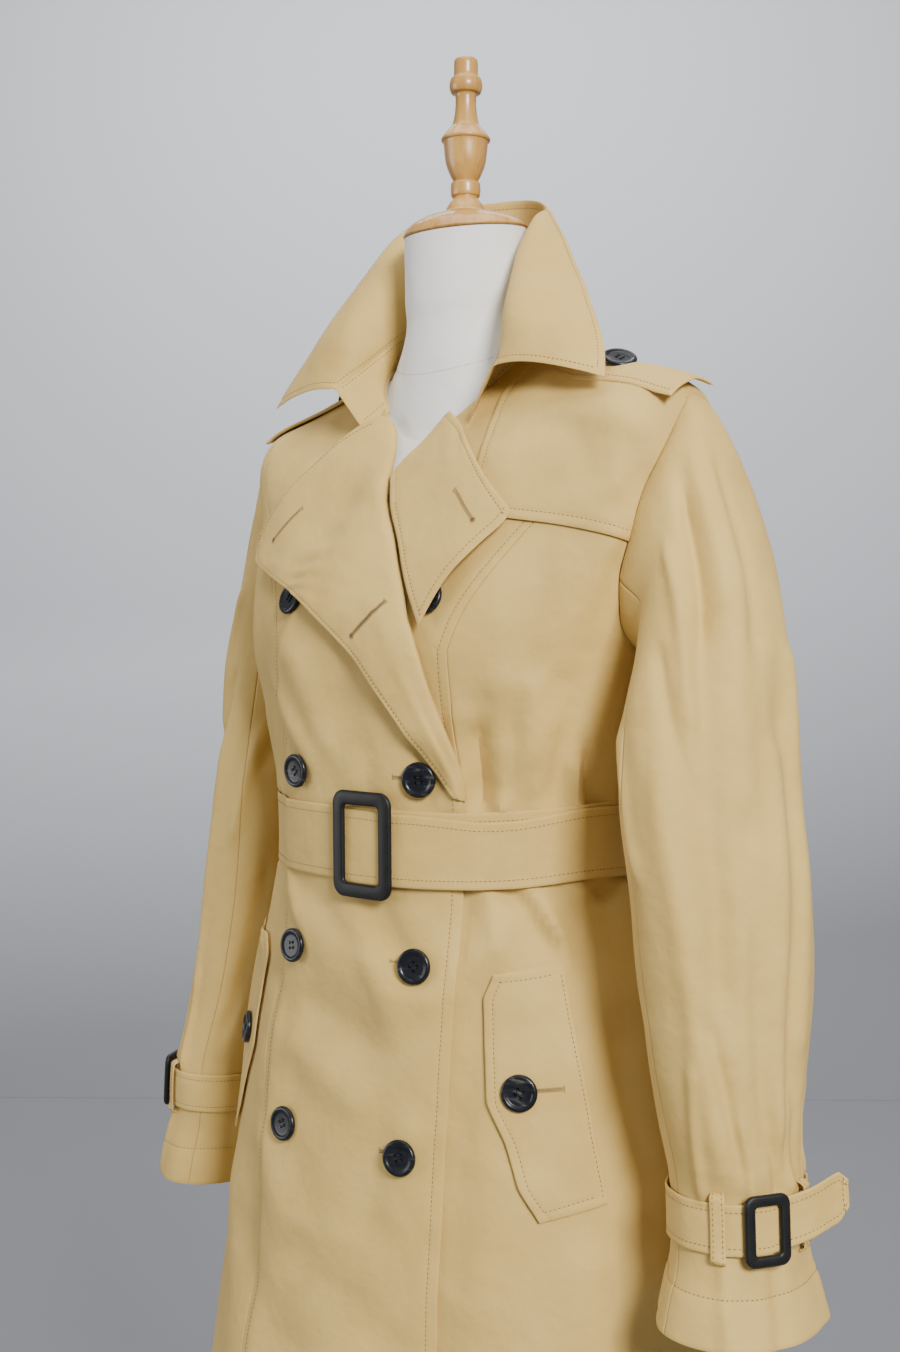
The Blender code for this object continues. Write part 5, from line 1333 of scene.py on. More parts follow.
def make_buttons(horn):
    sides = (("left", 1), ("right", -1))
    for row, height in enumerate(BUTTON_ROWS):
        reach = BUTTON_REACH if row else BUTTON_TOP_REACH
        for side, sign in sides:
            distance = BUTTON_SHIFT * bool(row) + sign * reach
            angle, level = front_place(distance + BUTTON_INWARD[side], height)
            lift = right_front_lift if side == "right" or row else no_lift
            point, normal = on_body((float(angle), float(level)), lift)
            turn = math.radians(BUTTON_TURNS[side] if row else 0)
            way = Matrix.Rotation(turn, 3, "Z") @ Vector(normal)
            raised = point + normal * BUTTON_RADIUS * math.sin(turn) * 0.5
            button(f"{side}_button_{row + 1}", raised, way, horn, BUTTON_SPINS[side][row])
    for side, sign in sides:
        angle, level = front_place(sign * POCKET_BUTTON[0], POCKET_BUTTON[1])
        point, normal = on_body((float(angle), float(level)), pocket_lift)
        button(side + "_pocket_button", point, normal, horn, 1.1)
        out = EPAULETTE_BUTTONS[side]
        angle, level = shoulder_place(out, EPAULETTE_MIDDLES[side])
        lift = float(np.interp(-out, [-row[0] for row in EPAULETTE], [row[2] for row in EPAULETTE]))
        lift -= EPAULETTE_DROPS[side] + EPAULETTE_LOWER[side]
        angle, level = sign * float(angle), float(level)
        point = body(angle, level, lift + EPAULETTE_WALL / 2 + 0.0012)
        lean = np.array(BUTTON_LEAN) * (sign, 1, 1)
        button(side + "_epaulette_button", point, hoop_normal(angle, level) + lean, horn, 0.8)


def make_pockets(cloth, threads):
    made = {}
    lines = [(name, POCKET_STITCH) for name in ("left", "high", "low")]
    lines.append(("right", POCKET_BACK_STITCH))
    edges = [sharp_rows([tuple(map(float, front_place(row[column], row[column + 1])))
                         for row in POCKET], 12) for column in (0, 2)]
    for side in ("left", "right"):
        name = side + "_pocket"
        made[name], outer = panel(name, *(own_side(edge, side) for edge in edges), pocket_lift,
                                  cloth, left=POCKET_STITCH, lines=lines, step=0.0036)
        for edge, distance in lines:
            sew_panel(threads, outer, edge, distance, 3 if edge in ("left", "right") else 5)
    return made


def sharp_rows(places, per):
    """Finer places along straight runs, with the corners slightly rounded."""
    place = np.linspace(0, len(places) - 1, (len(places) - 1) * per + 1)
    line = between(place, np.arange(len(places)), places)
    soft = line.copy()
    soft[1:-1] = (line[:-2] + 2 * line[1:-1] + line[2:]) / 4
    return soft


# The belt


def belt_point(angle, level, lift):
    point = hoop(angle, level)
    beyond = (point[..., 0] - keyed(OVERLAP, point[..., 2]) - BELT_STEP_START) / BELT_STEP_RUN
    ahead = np.abs((angle + 180) % 360 - 180) < 90
    rise = np.where(ahead, right_front_lift(angle, level) * (1 - ease(beyond)), 0.0)
    return point + hoop_normal(angle, level) * (lift + rise)[..., None]


def band_rows(edge, rows):
    """Shares of a band's height, closer near its edges."""
    edge = np.array(edge)
    return np.concatenate((-edge[:-1], np.linspace(-edge[-1], edge[-1], rows), edge[-2::-1]))


def belt_grid(angles, middle, lift, rows, upper=0.0, lower=0.0):
    """Points of a belt layer: upper and lower move its edges up along the angles."""
    share = band_rows(BELT_EDGE, rows)
    top = np.broadcast_to(upper, np.shape(angles))[None] * (share[:, None] + 0.5)
    bottom = np.broadcast_to(lower, np.shape(angles))[None] * (0.5 - share[:, None])
    height = middle + BELT_HEIGHT * share[:, None] + top + bottom
    height = height + bumps(angles, BELT_RISES)[None]
    level = level_at(height)
    angle = np.repeat(np.asarray(angles)[None], len(share), 0)
    bow = BELT_BOW * np.cos(math.pi * share)[:, None]
    points = belt_point(angle, level, lift + bow + np.zeros(angle.shape))
    return points, hoop_normal(angle, level)


def bumps(angles, rows):
    """The sum of smooth bumps along an angle. Columns: angle, half width, size."""
    total = np.zeros(np.shape(angles))
    for centre, half_width, size in rows:
        away = (np.asarray(angles) - centre + 180) % 360 - 180
        total += size * np.exp(-((away / half_width) ** 2))
    return total


def make_belt(cloth, leather, threads, dark):
    made = {}
    round_waist = np.linspace(0, 360, 361)[:-1]
    start = BELT_BUCKLE[0] - BELT_BUCKLE_SIZE[0] / 2 + BELT_END_START
    first = float(angle_at(start, np.float64(BELT_LEVEL)))
    under = np.linspace(first, BELT_END_ANGLE, 130)
    edges = (("low", BELT_STITCH), ("high", BELT_STITCH))
    for name, angles, middle, lift, ripples, upper, lower, lines in (
            ("belt", round_waist, BELT_MIDDLE, BELT_LIFT, BELT_RIPPLES, (), (), edges),
            ("belt_tail", under, BELT_MIDDLE - BELT_END_DROP, BELT_LIFT + BELT_LAYER - 0.0003,
             TAIL_RIPPLES, TAIL_SAG, TAIL_LOWER, edges + (("right", BELT_STITCH),))):
        closed = name == "belt"
        points, ways = belt_grid(angles, middle, lift + bumps(angles, ripples), 13,
                                 bumps(angles, upper), bumps(angles, lower))
        made[name], _ = wall(name, points, ways, cloth, lines, closed=closed)
        line = points + ways * CLOTH / 2
        if closed:
            line, ways = (np.concatenate((part, part[:, :1]), 1) for part in (line, ways))
        for side, distance in lines:
            sew(threads, line, ways, side, distance, 0 if closed else 1)
    angle, level = front_place(*BELT_BUCKLE)
    out = BELT_LIFT + BELT_LAYER + CLOTH / 2 + BELT_BUCKLE_SIZE[2] / 2 + 0.0002
    point = belt_point(angle, level, np.float64(out))
    place = facing(point, hoop_normal(angle, level), BELT_BUCKLE_SPIN)
    buckle("belt_buckle", BELT_BUCKLE_SIZE, BELT_BUCKLE_BAR, place, leather, dark, BUCKLE_BEND)
    return made


def rounded_outline(half_width, half_height, radius, corner_steps=8, side_steps=10):
    """A rectangle with round corners."""
    turns = np.radians(np.linspace(0, 90, corner_steps + 1))
    arcs = []
    for corner, (x_sign, y_sign) in enumerate(((1, 1), (-1, 1), (-1, -1), (1, -1))):
        turn = turns + math.radians(90 * corner)
        arcs.append(np.stack((x_sign * (half_width - radius) + radius * np.cos(turn),
                              y_sign * (half_height - radius) + radius * np.sin(turn)), -1))
    share = np.arange(1, side_steps)[:, None] / side_steps
    sides = [arc[-1] + (after[0] - arc[-1]) * share for arc, after in zip(arcs, arcs[1:] + arcs)]
    return np.concatenate([part for pair in zip(arcs, sides) for part in pair])


def buckle(name, size, bar, place, leather, dark, bend=0.0):
    """A leather-covered buckle frame, stitched near both its edges."""
    width, height, depth = size

    def outline(inset, rise):
        corner = max(bar * (BUCKLE_CORNER[0] - BUCKLE_CORNER[1] * inset), BUCKLE_LEAST_CORNER)
        flat = rounded_outline(width / 2 - bar * inset, height / 2 - bar * inset, corner)
        level = depth * rise - bend * (flat[:, :1] / (width / 2)) ** 2
        return np.concatenate((flat, level), 1)

    rings = []
    for turn in np.linspace(0, 2 * math.pi, 20, endpoint=False):
        inset, rise = (0.5 * np.sign(part) * abs(part) ** power
                       for part, power in zip((math.cos(turn), math.sin(turn)), BUCKLE_SECTION))
        rings.append(outline(0.5 - inset, rise * (1 if rise > 0 else BUCKLE_BACK)))
    grid = np.array(rings)
    mesh = mesh_of(name, placed(grid.reshape(-1, 3), place), quads(numbered(grid), True, True))
    link(name, turn_outward(mesh), leather)
    for share in BUCKLE_STITCHES:
        line = placed(outline(share, BUCKLE_STITCH_RISE), place)
        line = np.concatenate((line, line[:1]))
        dark.line(line, np.repeat(np.array(place)[None, :3, 2], len(line), 0), 0.0)


# The sleeves


def armhole_point(turn, side):
    angle, level = armhole_place(turn)
    if side == "left":
        return body(angle, level)
    return body(-angle, level) * (-1, 1, 1)


def sleeve_ring_point(turn, ring, side):
    height, out, fore, half_out, half_fore, lean = np.moveaxis(smooth(SLEEVES[side], ring), -1, 0)
    across = half_out * np.sin(np.radians(turn))
    slope = np.radians(lean)
    return np.stack((out + across * np.cos(slope), fore - half_fore * np.cos(np.radians(turn)),
                     height + across * np.sin(slope)), -1)


def sleeve_base(turn, ring, side):
    turn, ring = np.broadcast_arrays(np.asarray(turn, float), np.asarray(ring, float))
    below = sleeve_ring_point(turn, np.maximum(ring, 0.0), side)
    share = (np.clip(ring, -1, 0) + 1)[..., None]
    cosine, sine = np.cos(np.radians(turn)), np.sin(np.radians(turn))
    leave = unit(np.stack((np.full(turn.shape, HEAD_WAY[0]), HEAD_WAY[1] * cosine,
                           np.full(turn.shape, HEAD_WAY[2])), -1))
    gap = UNDERARM_SEAM + (0.0002 - UNDERARM_SEAM) * ease(sine + 0.5)
    first = armhole_point(turn, side) + leave * gap[..., None]
    last = sleeve_ring_point(turn, np.zeros(turn.shape), side)
    down = sleeve_ring_point(turn, np.full(turn.shape, 0.5), side) - last
    span = (np.linalg.norm(last - first, axis=-1) * SLEEVE_HEAD)[..., None]
    head = cubic(first, leave * span, last, unit(down) * span, share)
    return np.where((ring >= 0)[..., None], below, head)


def sleeve_normal(turn, ring, side):
    first = np.maximum(ring - RING_STEP, -1.0)
    last = np.minimum(ring + RING_STEP, len(SLEEVES[side]) - 1.0)
    along = sleeve_base(turn + 1, ring, side) - sleeve_base(turn - 1, ring, side)
    return unit(np.cross(sleeve_base(turn, last, side) - sleeve_base(turn, first, side), along))


def sleeve(turn, ring, side, out=0.0):
    turn, ring = np.broadcast_arrays(np.asarray(turn, float), np.asarray(ring, float))
    base = sleeve_base(turn, ring, side)
    off_strap = np.abs(base[..., 2] - STRAP_MIDDLES[side]) - STRAP_HEIGHT / 2
    lift = fold_lift(SLEEVE_FOLDS, turn, base[..., 2], SLEEVE_DEGREE)
    lift += wave(*np.moveaxis(base, -1, 0), SLEEVE_WAVES)
    lift *= ease(off_strap / FOLD_FADE)
    shift = STRAP_MIDDLES[side] - STRAP_MIDDLES["left"]
    creases = crease_lift(SLEEVE_CREASES, turn, base[..., 2] - shift, SLEEVE_DEGREE)
    lift += CREASE_GAIN[0] * creases * ease((off_strap + STRAP_CREASE_START) / STRAP_CREASE_RUN)
    lift *= ease(ring + 0.9) * ease((ring + 1) / 0.3)
    point = base + sleeve_normal(turn, ring, side) * np.asarray(out + lift)[..., None]
    return point if side == "left" else point * (-1, 1, 1)


def own_way(direction, side):
    return direction if side == "left" else direction * (-1, 1, 1)


def ring_at(height, side):
    table = SLEEVES[side]
    height = np.asarray(height, float)
    return bisect(np.zeros(height.shape), np.full(height.shape, len(table) - 1.0),
                  lambda ring: smooth(table, ring)[..., 0] > height)


def make_sleeves(cloth, leather, threads, dark):
    made = {}
    rings = np.concatenate((np.linspace(-1, 0, 30)[:-1], np.linspace(0, 10, 150)))
    edge = math.degrees(TINY / SLEEVE_RADIUS) + np.array((0.0, 0.6, 1.5))
    cuff = ("high", CUFF_STITCH)
    for side in ("left", "right"):
        for part, first, last, count, lines in (
                ("top", SLEEVE_FRONT_SEAM, SLEEVE_BACK_SEAM, 112, (cuff, ("right", SLEEVE_STITCH))),
                ("under", SLEEVE_BACK_SEAM, 360 + SLEEVE_FRONT_SEAM, 70, (cuff,))):
            name = f"{side}_{part}_sleeve"
            turns = np.concatenate((first + edge, np.linspace(first + 3, last - 3, count),
                                    (last - edge)[::-1]))
            turn, ring = np.meshgrid(turns, rings)
            middle = sleeve(turn, ring, side)
            ways = own_way(sleeve_normal(turn, ring, side), side)
            made[name], _ = wall(name, middle, ways, cloth, lines)
            for edge_name, distance in lines:
                sew(threads, middle + ways * CLOTH / 2, ways, edge_name, distance, 1)
        made.update(make_strap(side, cloth, threads))
        for name, turn in KEEPER_TURNS:
            made.update(make_keeper(side, name, turn, cloth, threads))
        place = (np.float64(STRAP_BUCKLE_TURN), ring_at(STRAP_MIDDLES[side], side), side)
        lift = STRAP_LIFT + STRAP_LAYER + CLOTH / 2 + 0.0002 + CUFF_BUCKLE_SIZE[2] / 2
        buckle(side + "_cuff_buckle", CUFF_BUCKLE_SIZE, CUFF_BUCKLE_BAR,
               facing(sleeve(*place, lift), own_way(sleeve_normal(*place), side)),
               leather, dark, 0.0004)
    return made


def make_strap(side, cloth, threads):
    """A cuff strap with its second layer and its free tail, cut to a blunt point."""
    name = side + "_cuff_strap"
    first = STRAP_BUCKLE_TURN + STRAP_START
    last = 360 + STRAP_BUCKLE_TURN + STRAP_LEAVE
    shares = band_rows(STRAP_EDGE, STRAP_ROWS)
    turn, share = np.meshgrid(np.linspace(first, last, 190), shares)
    ring = ring_at(STRAP_MIDDLES[side] + STRAP_HEIGHT * share, side)
    lift = STRAP_LIFT + STRAP_LAYER * ease((turn - 360 - STRAP_RISE_START) / STRAP_RISE_RUN)
    around = sleeve(turn, ring, side, lift + bumps(turn, STRAP_RIPPLES))
    ways = own_way(sleeve_normal(turn, ring, side), side)
    middle, ahead = (sleeve(np.float64(last + more), ring_at(STRAP_MIDDLES[side], side), side,
                            STRAP_LIFT + STRAP_LAYER) for more in (0, 1))
    part = np.linspace(0, 1, 46)[1:][:, None, None]
    tips = np.array(((0.0, 1.0), *STRAP_TIP))
    flat = np.repeat((around[:, -1] - middle)[None], len(part), 0)
    flat[..., 2] *= np.interp(part[..., 0], tips[:, 0], tips[:, 1])
    tail = (middle + flat + unit(ahead - middle) * STRAP_TAIL * part
            + np.array((0, 0, STRAP_TAIL_RISE)) * part
            + ways[:, -1] * STRAP_CURL * np.sin(part * math.pi * 1.1) ** 2)
    grid = np.concatenate((around, tail.transpose(1, 0, 2)), 1)
    ways = np.concatenate((ways, np.repeat(ways[:, -1:], len(part), 1)), 1)
    lines = [(edge, STRAP_STITCH) for edge in ("low", "high", "right")]
    piece, _ = wall(name, grid, ways, cloth, lines)
    for edge, distance in lines:
        sew(threads, grid + ways * CLOTH / 2, ways, edge, distance, 1)
    return {name: piece}


def make_keeper(side, name, turn, cloth, threads):
    half_turn = math.degrees(KEEPER_WIDTH / 2 / SLEEVE_RADIUS)
    reach = STRAP_HEIGHT / 2 + KEEPER_REACH
    half_arch = [(reach + more, lift) for more, lift in KEEPER_ARCH]
    arch = [*half_arch, (0.0, KEEPER_TOP), *((-x, y) for x, y in half_arch[::-1])]
    rows = smooth(arch, np.linspace(0, len(arch) - 1, 57))
    across = band_rows(KEEPER_EDGE, 3)
    turns = np.repeat((turn + half_turn * across)[None], len(rows), 0)
    ring = ring_at(STRAP_MIDDLES[side] + np.repeat(rows[:, :1], len(across), 1), side)
    middle = sleeve(turns, ring, side, np.repeat(rows[:, 1:2], len(across), 1))
    ways = grid_normals(middle)
    out = own_way(sleeve_normal(turns, ring, side), side)
    ways *= np.where((ways * out).sum(-1).mean() > 0, 1, -1)
    name = f"{side}_keeper_{name}"
    piece, _ = wall(name, middle, ways, cloth, (), KEEPER_WALL, turned_edge=KEEPER_TURNED_EDGE)
    for edge in ("left", "right"):
        sew(threads, middle + ways * KEEPER_WALL / 2, ways, edge, KEEPER_STITCH)
    return {name: piece}


# The dress form, its cap and its stand


def form_ring(level, turns):
    inset = keyed(FORM, level)
    return hoop(turns, np.full(len(turns), level)) - hoop_normal(
        turns, np.full(len(turns), level)) * inset


def tilted_ring(height, radius, middle, tilt, turns):
    reach = radius * np.cos(np.radians(turns))
    painted_shade = math.radians(tilt)
    return np.stack((radius * np.sin(np.radians(turns)), middle - reach * math.cos(painted_shade),
                     height - reach * math.sin(painted_shade)), -1)


def solid(name, rings, material, smooth_angle=40):
    """A closed solid through rings of points, with flat ends."""
    rings = np.array(rings)
    rows, columns, _ = rings.shape
    index = numbered(rings)
    faces = [*quads(index, False, True).tolist(), index[0].tolist(), index[-1].tolist()]
    around = np.repeat(np.linspace(0, 1, columns, endpoint=False)[None], rows, 0)
    uv = np.stack((around, arc_lengths(rings, 0)), -1).reshape(-1, 2)
    mesh = turn_outward(mesh_of(name, rings.reshape(-1, 3), faces, uv))
    return link(name, mesh, material, smooth_angle)


def finer_rings(rings, count):
    """More rings, smooth through the given ones."""
    rings = np.array(rings)
    keys = np.linspace(0, len(rings) - 1, count)
    return smooth(rings.reshape(len(rings), -1), keys).reshape(count, -1, 3)


def turned(name, profile, per, material, steps=96):
    """A turned solid from a profile of (radius, height), its curves made finer."""
    profile = np.array(profile)
    turns = np.linspace(0, 2 * math.pi, steps, endpoint=False)
    places = np.linspace(0, len(profile) - 1, (len(profile) - 1) * per + 1)
    rows = smooth(profile, places) if per > 1 else profile
    rows[:, 0] = np.maximum(rows[:, 0], 0.00005)
    rings = [np.stack((r * np.cos(turns), r * np.sin(turns), np.full(steps, z)), -1)
             for r, z in rows]
    return solid(name, rings, material)


def make_form(jersey, wood, enamel, seam_threads):
    turns = np.linspace(0, 360, FORM_COLUMNS, endpoint=False)
    bottom = form_ring(FORM_START, turns)
    floor_z = bottom[0][2] - FORM_FLOOR_DROP
    rings = []
    for share, rise in FORM_UNDERSIDE:
        ring = bottom * (share, share, 1)
        ring[:, 2] = floor_z + rise
        rings.append(ring)
    rings += [form_ring(level, turns) for level in np.linspace(FORM_START, FORM_END, FORM_RINGS)]
    neck = [tilted_ring(*row, turns) for row in NECK]
    rings = np.concatenate((rings, finer_rings([form_ring(NECK_LEVEL, turns), *neck], 40)))
    # the neck's seam, a shallow groove all round
    centre = rings.mean(axis=1, keepdims=True)
    height = rings[..., 2] - NECK_SEAM[0] - NECK_SEAM[1] * rings[..., 1]
    dip = NECK_SEAM_DEPTH * np.exp(-((height / NECK_SEAM_WIDTH) ** 2))
    away = unit((rings - centre) * (1, 1, 0))
    rings = rings - away * dip[..., None] * (rings[:, :1, 2:] > NECK_SEAM_LOWEST)
    solid("form_torso", rings, jersey, 60)
    height = rings[..., 2] - NECK_SEAM[0] - NECK_SEAM[1] * rings[..., 1]
    seam = []
    for column in range(len(turns)):
        upper = rings[:, column, 2] > NECK_SEAM_LOWEST
        order = np.argsort(height[upper, column])
        seam.append(between(0.0, height[upper, column][order], rings[upper, column][order]))
    ways = unit((np.array(seam) - centre[0, 0]) * (1, 1, 0))
    seam_threads.line(np.array(seam + seam[:1]), np.concatenate((ways, ways[:1])), 0.0)
    cap = finer_rings([tilted_ring(*row, turns) for row in CAP], 31)
    solid("neck_cap", cap, wood, 50)
    turned("finial", FINIAL, 5, wood).location.z = NECK_TOP
    top = floor_z - BASE_HEIGHT - 2 * SEAM
    profile = ((0, top), (POLE_RADIUS - POLE_BEVEL, top), (POLE_RADIUS, top - POLE_BEVEL),
               (POLE_RADIUS, 0), (0, 0))
    turned("pole", profile, 1, enamel, 64).location.z = BASE_HEIGHT + SEAM
    turned("base", np.array(BASE_FINE) * (BASE_RADIUS, BASE_HEIGHT), 1, enamel, 160)


# Buttonholes and thread marks


def line_on(grid, ways, first, last, count=21):
    """A line over a grid between two places given as distance and height."""
    spots, directions = [], []
    for share in np.linspace(0, 1, count):
        x, z = (first[axis] + (last[axis] - first[axis]) * share for axis in (0, 1))
        away = np.hypot(grid[..., 0] - x, grid[..., 2] - z)
        near = np.argsort(away, axis=None)[:6]
        weight = 1 / (away.ravel()[near] + LEAST_AWAY)
        weight = (weight / weight.sum())[:, None]
        spots.append((grid.reshape(-1, 3)[near] * weight).sum(0))
        directions.append((ways.reshape(-1, 3)[near] * weight).sum(0))
    directions = unit(np.array(directions))
    return np.array(spots) + directions * CLOTH / 2, directions


def line_over(first, last, lift, count=21):
    """A line over the body between two (distance, height) places on the front."""
    share = np.linspace(0, 1, count)
    angle, level = front_place(first[0] + (last[0] - first[0]) * share,
                               first[1] + (last[1] - first[1]) * share)
    points = body(angle, level, lift(angle, level) + CLOTH / 2)
    return points, hoop_normal(angle, level)


def buttonhole(name, line, width, shadow, threads, eyelet=True):
    """A worked buttonhole on a line: a dark slit, whipped edges, a bar and an eyelet."""
    points, ways = line
    along = unit(np.gradient(points, axis=0))
    across = unit(np.cross(ways, along))
    runs = np.linspace(0, 1, len(points))
    half = (width / 2 * np.sin(np.pi * np.clip(runs, 0.03, 0.97)) ** SLIT_FULLNESS)[:, None]
    base = points + ways * SLIT_RISE
    slit = np.concatenate((base + across * half, base - across * half))
    link(name, mesh_of(name, slit, quads(np.arange(len(slit)).reshape(2, -1))), shadow)
    length = float(np.linalg.norm(points[-1] - points[0]))
    places = np.linspace(0.02, 0.98, int(length / WHIP_PITCH))
    middle, out, side, wide = (between(places, runs, table)
                               for table in (points, ways, across, half))
    wide = wide * WHIP_SHARE
    for sign in (-1, 1):
        threads.add(middle + side * sign * wide + out * WHIP_LIFT,
                    middle + side * sign * (wide + WHIP_REACH), out, WHIP_SEAT)
    if eyelet:
        steps = EYELET_STEPS
        turns = np.linspace(0, 2 * math.pi, steps, endpoint=False)
        ring = np.cos(turns)[:, None] * along[-1] + np.sin(turns)[:, None] * across[-1]
        centre = points[-1] + along[-1] * EYELET_AHEAD
        threads.add(*(centre + ring * reach for reach in EYELET_THREAD),
                    np.repeat(ways[-1:], steps, 0), WHIP_SEAT)
        disc = centre + np.concatenate((ring * EYELET_RADIUS, along[-1:] * 0))
        mesh = mesh_of(name + "_eyelet", disc + ways[-1] * EYELET_RISE,
                       [(turn, (turn + 1) % steps, steps) for turn in range(steps)])
        link(name + "_eyelet", mesh, shadow)
    spots = np.linspace(-BAR_HALF_WIDTH, BAR_HALF_WIDTH, BAR_THREADS)[:, None]
    spots = points[0] - along[0] * BAR_GAP + across[0] * spots
    threads.add(spots - along[0] * BAR_HALF_THREAD, spots + along[0] * BAR_HALF_THREAD,
                np.repeat(ways[:1], BAR_THREADS, 0), BAR_SEAT)


def make_buttonholes(lapels, shadow, threads):
    """The buttonholes on the lapels, the right front and the pockets."""
    for side, holes in HOLES.items():
        _, grid, ways = lapels[side]
        for number, (first, last, width) in enumerate(holes):
            line = line_on(grid[:, 20:], ways[:, 20:], first, last)
            buttonhole(f"{side}_hole_{number + 1}", line, width, shadow, threads)
    reach = BUTTON_REACH + BUTTON_SHIFT
    placed_holes = [(f"left_hole_{row + 2}", FRONT_HOLE, 1, (reach, height), right_front_lift)
                    for row, height in enumerate(BUTTON_ROWS[1:])]
    placed_holes += [(side + "_pocket_hole", POCKET_HOLE, sign, POCKET_BUTTON, pocket_lift)
                     for side, sign in (("left", 1), ("right", -1))]
    for name, ends, sign, (x, z), lift in placed_holes:
        line = line_over(*((sign * (x + out), z + up) for out, up in ends), lift)
        buttonhole(name, line, HOLE_SLIT, shadow, threads, False)


# Materials


def start_material(name):
    """A material, its nodes and the object's own coordinates."""
    material = bpy.data.materials.new(name)
    material.use_nodes = True
    tree = material.node_tree
    return material, tree, node(tree, "ShaderNodeTexCoord").outputs["Object"]


def plug(tree, socket, value):
    """Link a node's output into a socket, or set the socket to a constant."""
    if hasattr(value, "is_output"):
        tree.links.new(value, socket)
    else:
        socket.default_value = value


def node(tree, kind, inputs=None, **settings):
    made = tree.nodes.new(kind)
    for key, value in settings.items():
        setattr(made, key, value)
    for key, value in (inputs or {}).items():
        plug(tree, made.inputs[key], value)
    return made


def finish(material, **inputs):
    """Set the surface's inputs, named with _ for a space."""
    tree = material.node_tree
    for name, value in inputs.items():
        plug(tree, tree.nodes["Principled BSDF"].inputs[name.replace("_", " ")], value)
    return material


def maths(tree, operation, *values):
    return node(tree, "ShaderNodeMath", dict(enumerate(values)), operation=operation).outputs[0]


def wave_node(tree, value, length):
    return maths(tree, "SINE", maths(tree, "MULTIPLY", value, 2 * math.pi / length))


def noise(tree, vector, scale, detail=2.0, **more):
    inputs = {"Vector": vector, "Scale": scale, "Detail": detail, **more}
    return node(tree, "ShaderNodeTexNoise", inputs).outputs[0]


def spread_out(tree, value, low, high):
    """A value's range from low to high, brought to 0 to 1."""
    return node(tree, "ShaderNodeMapRange", {0: value, 1: low, 2: high, 3: 0.0, 4: 1.0}).outputs[0]


def bump(tree, height, strength, distance, below=None):
    made = node(tree, "ShaderNodeBump",
                {"Height": height, "Strength": strength, "Distance": distance})
    if below is not None:
        plug(tree, made.inputs["Normal"], below)
    return made.outputs[0]


def stretched(tree, vector, scale, rotation=(0.0, 0.0, 0.0)):
    return node(tree, "ShaderNodeMapping",
                {"Vector": vector, "Scale": scale, "Rotation": rotation}).outputs[0]


def mix(tree, factor, first, second, blend="MIX"):
    """Two colours mixed. A colour is a node's output or red, green and blue."""
    made = node(tree, "ShaderNodeMix", data_type="RGBA", blend_type=blend)
    sockets = {entry.identifier: entry for entry in made.inputs}
    plug(tree, sockets["Factor_Float"], factor)
    for socket, value in (("A_Color", first), ("B_Color", second)):
        plug(tree, sockets[socket], (*value, 1.0) if isinstance(value, tuple) else value)
    return next(entry for entry in made.outputs if entry.identifier == "Result_Color")


def cloth_material():
    """Steep fine twill: a diagonal rib, slubs, a soft unevenness of colour and a low sheen."""
    material, tree, place = start_material(CLOTH_SLOT)
    uv = node(tree, "ShaderNodeUVMap", uv_map="cloth").outputs[0]
    split = node(tree, "ShaderNodeSeparateXYZ", {0: uv})
    u, v = split.outputs[0], split.outputs[1]
    rib = wave_node(tree, maths(tree, "MULTIPLY_ADD", v, 0.50, u), TWILL_RIB)
    weave = maths(tree, "MULTIPLY_ADD", wave_node(tree, v, TWILL_WEFT), 0.30, rib)
    cloud = noise(tree, place, 16.0, 4.0, Roughness=0.55)
    ruck = noise(tree, place, 62.0, 3.0, Roughness=0.5)
    tone = maths(tree, "MULTIPLY_ADD", noise(tree, uv, 900.0), 0.30, cloud)
    base = mix(tree, maths(tree, "SUBTRACT", tone, 0.32), CLOTH_COLOUR, CLOTH_PALE)
    thread = maths(tree, "MULTIPLY_ADD", weave, 0.045, 0.965)
    shade = node(tree, "ShaderNodeCombineColor", {0: thread, 1: thread, 2: thread}).outputs[0]
    fine = bump(tree, weave, 0.22, 0.00012)
    soft = bump(tree, ruck, 0.50, 0.0020, fine)
    return finish(material, Base_Color=mix(tree, 1.0, base, shade, "MULTIPLY"), Roughness=0.66,
                  Specular_IOR_Level=0.26, Sheen_Weight=0.06, Sheen_Roughness=0.45,
                  Sheen_Tint=(1.0, 0.93, 0.80, 1.0), Normal=bump(tree, cloud, 0.40, 0.0060, soft))


def thread_material(name, colour, rough=0.55):
    material, tree, place = start_material(name)
    low = tuple(channel * 0.82 for channel in colour)
    return finish(material, Base_Color=mix(tree, noise(tree, place, 300.0), low, colour),
                  Roughness=rough)


def horn_material():
    """Dark polished horn with short pale streaks, and dull thread through the holes."""
    material, tree, place = start_material("dark_horn")
    bent = stretched(tree, place, (55.0, 40.0, 210.0), (0.3, 0.5, 0.2))
    cloud = noise(tree, bent, 1.0, 5.0, Roughness=0.6, Distortion=1.4)
    base = mix(tree, spread_out(tree, cloud, 0.35, 0.62), (0.0030, 0.0035, 0.0055),
               (0.010, 0.0115, 0.016))
    base = mix(tree, spread_out(tree, cloud, 0.60, 0.76), base, (0.11, 0.10, 0.085))
    thread = node(tree, "ShaderNodeAttribute", attribute_name="thread").outputs["Fac"]
    return finish(material, Base_Color=mix(tree, thread, base, (0.012, 0.013, 0.018)),
                  Roughness=maths(tree, "MULTIPLY_ADD", thread, 0.5, 0.30), Coat_Weight=0.12,
                  Coat_Roughness=0.12, Specular_IOR_Level=0.25,
                  Normal=bump(tree, cloud, 0.15, 0.0004))


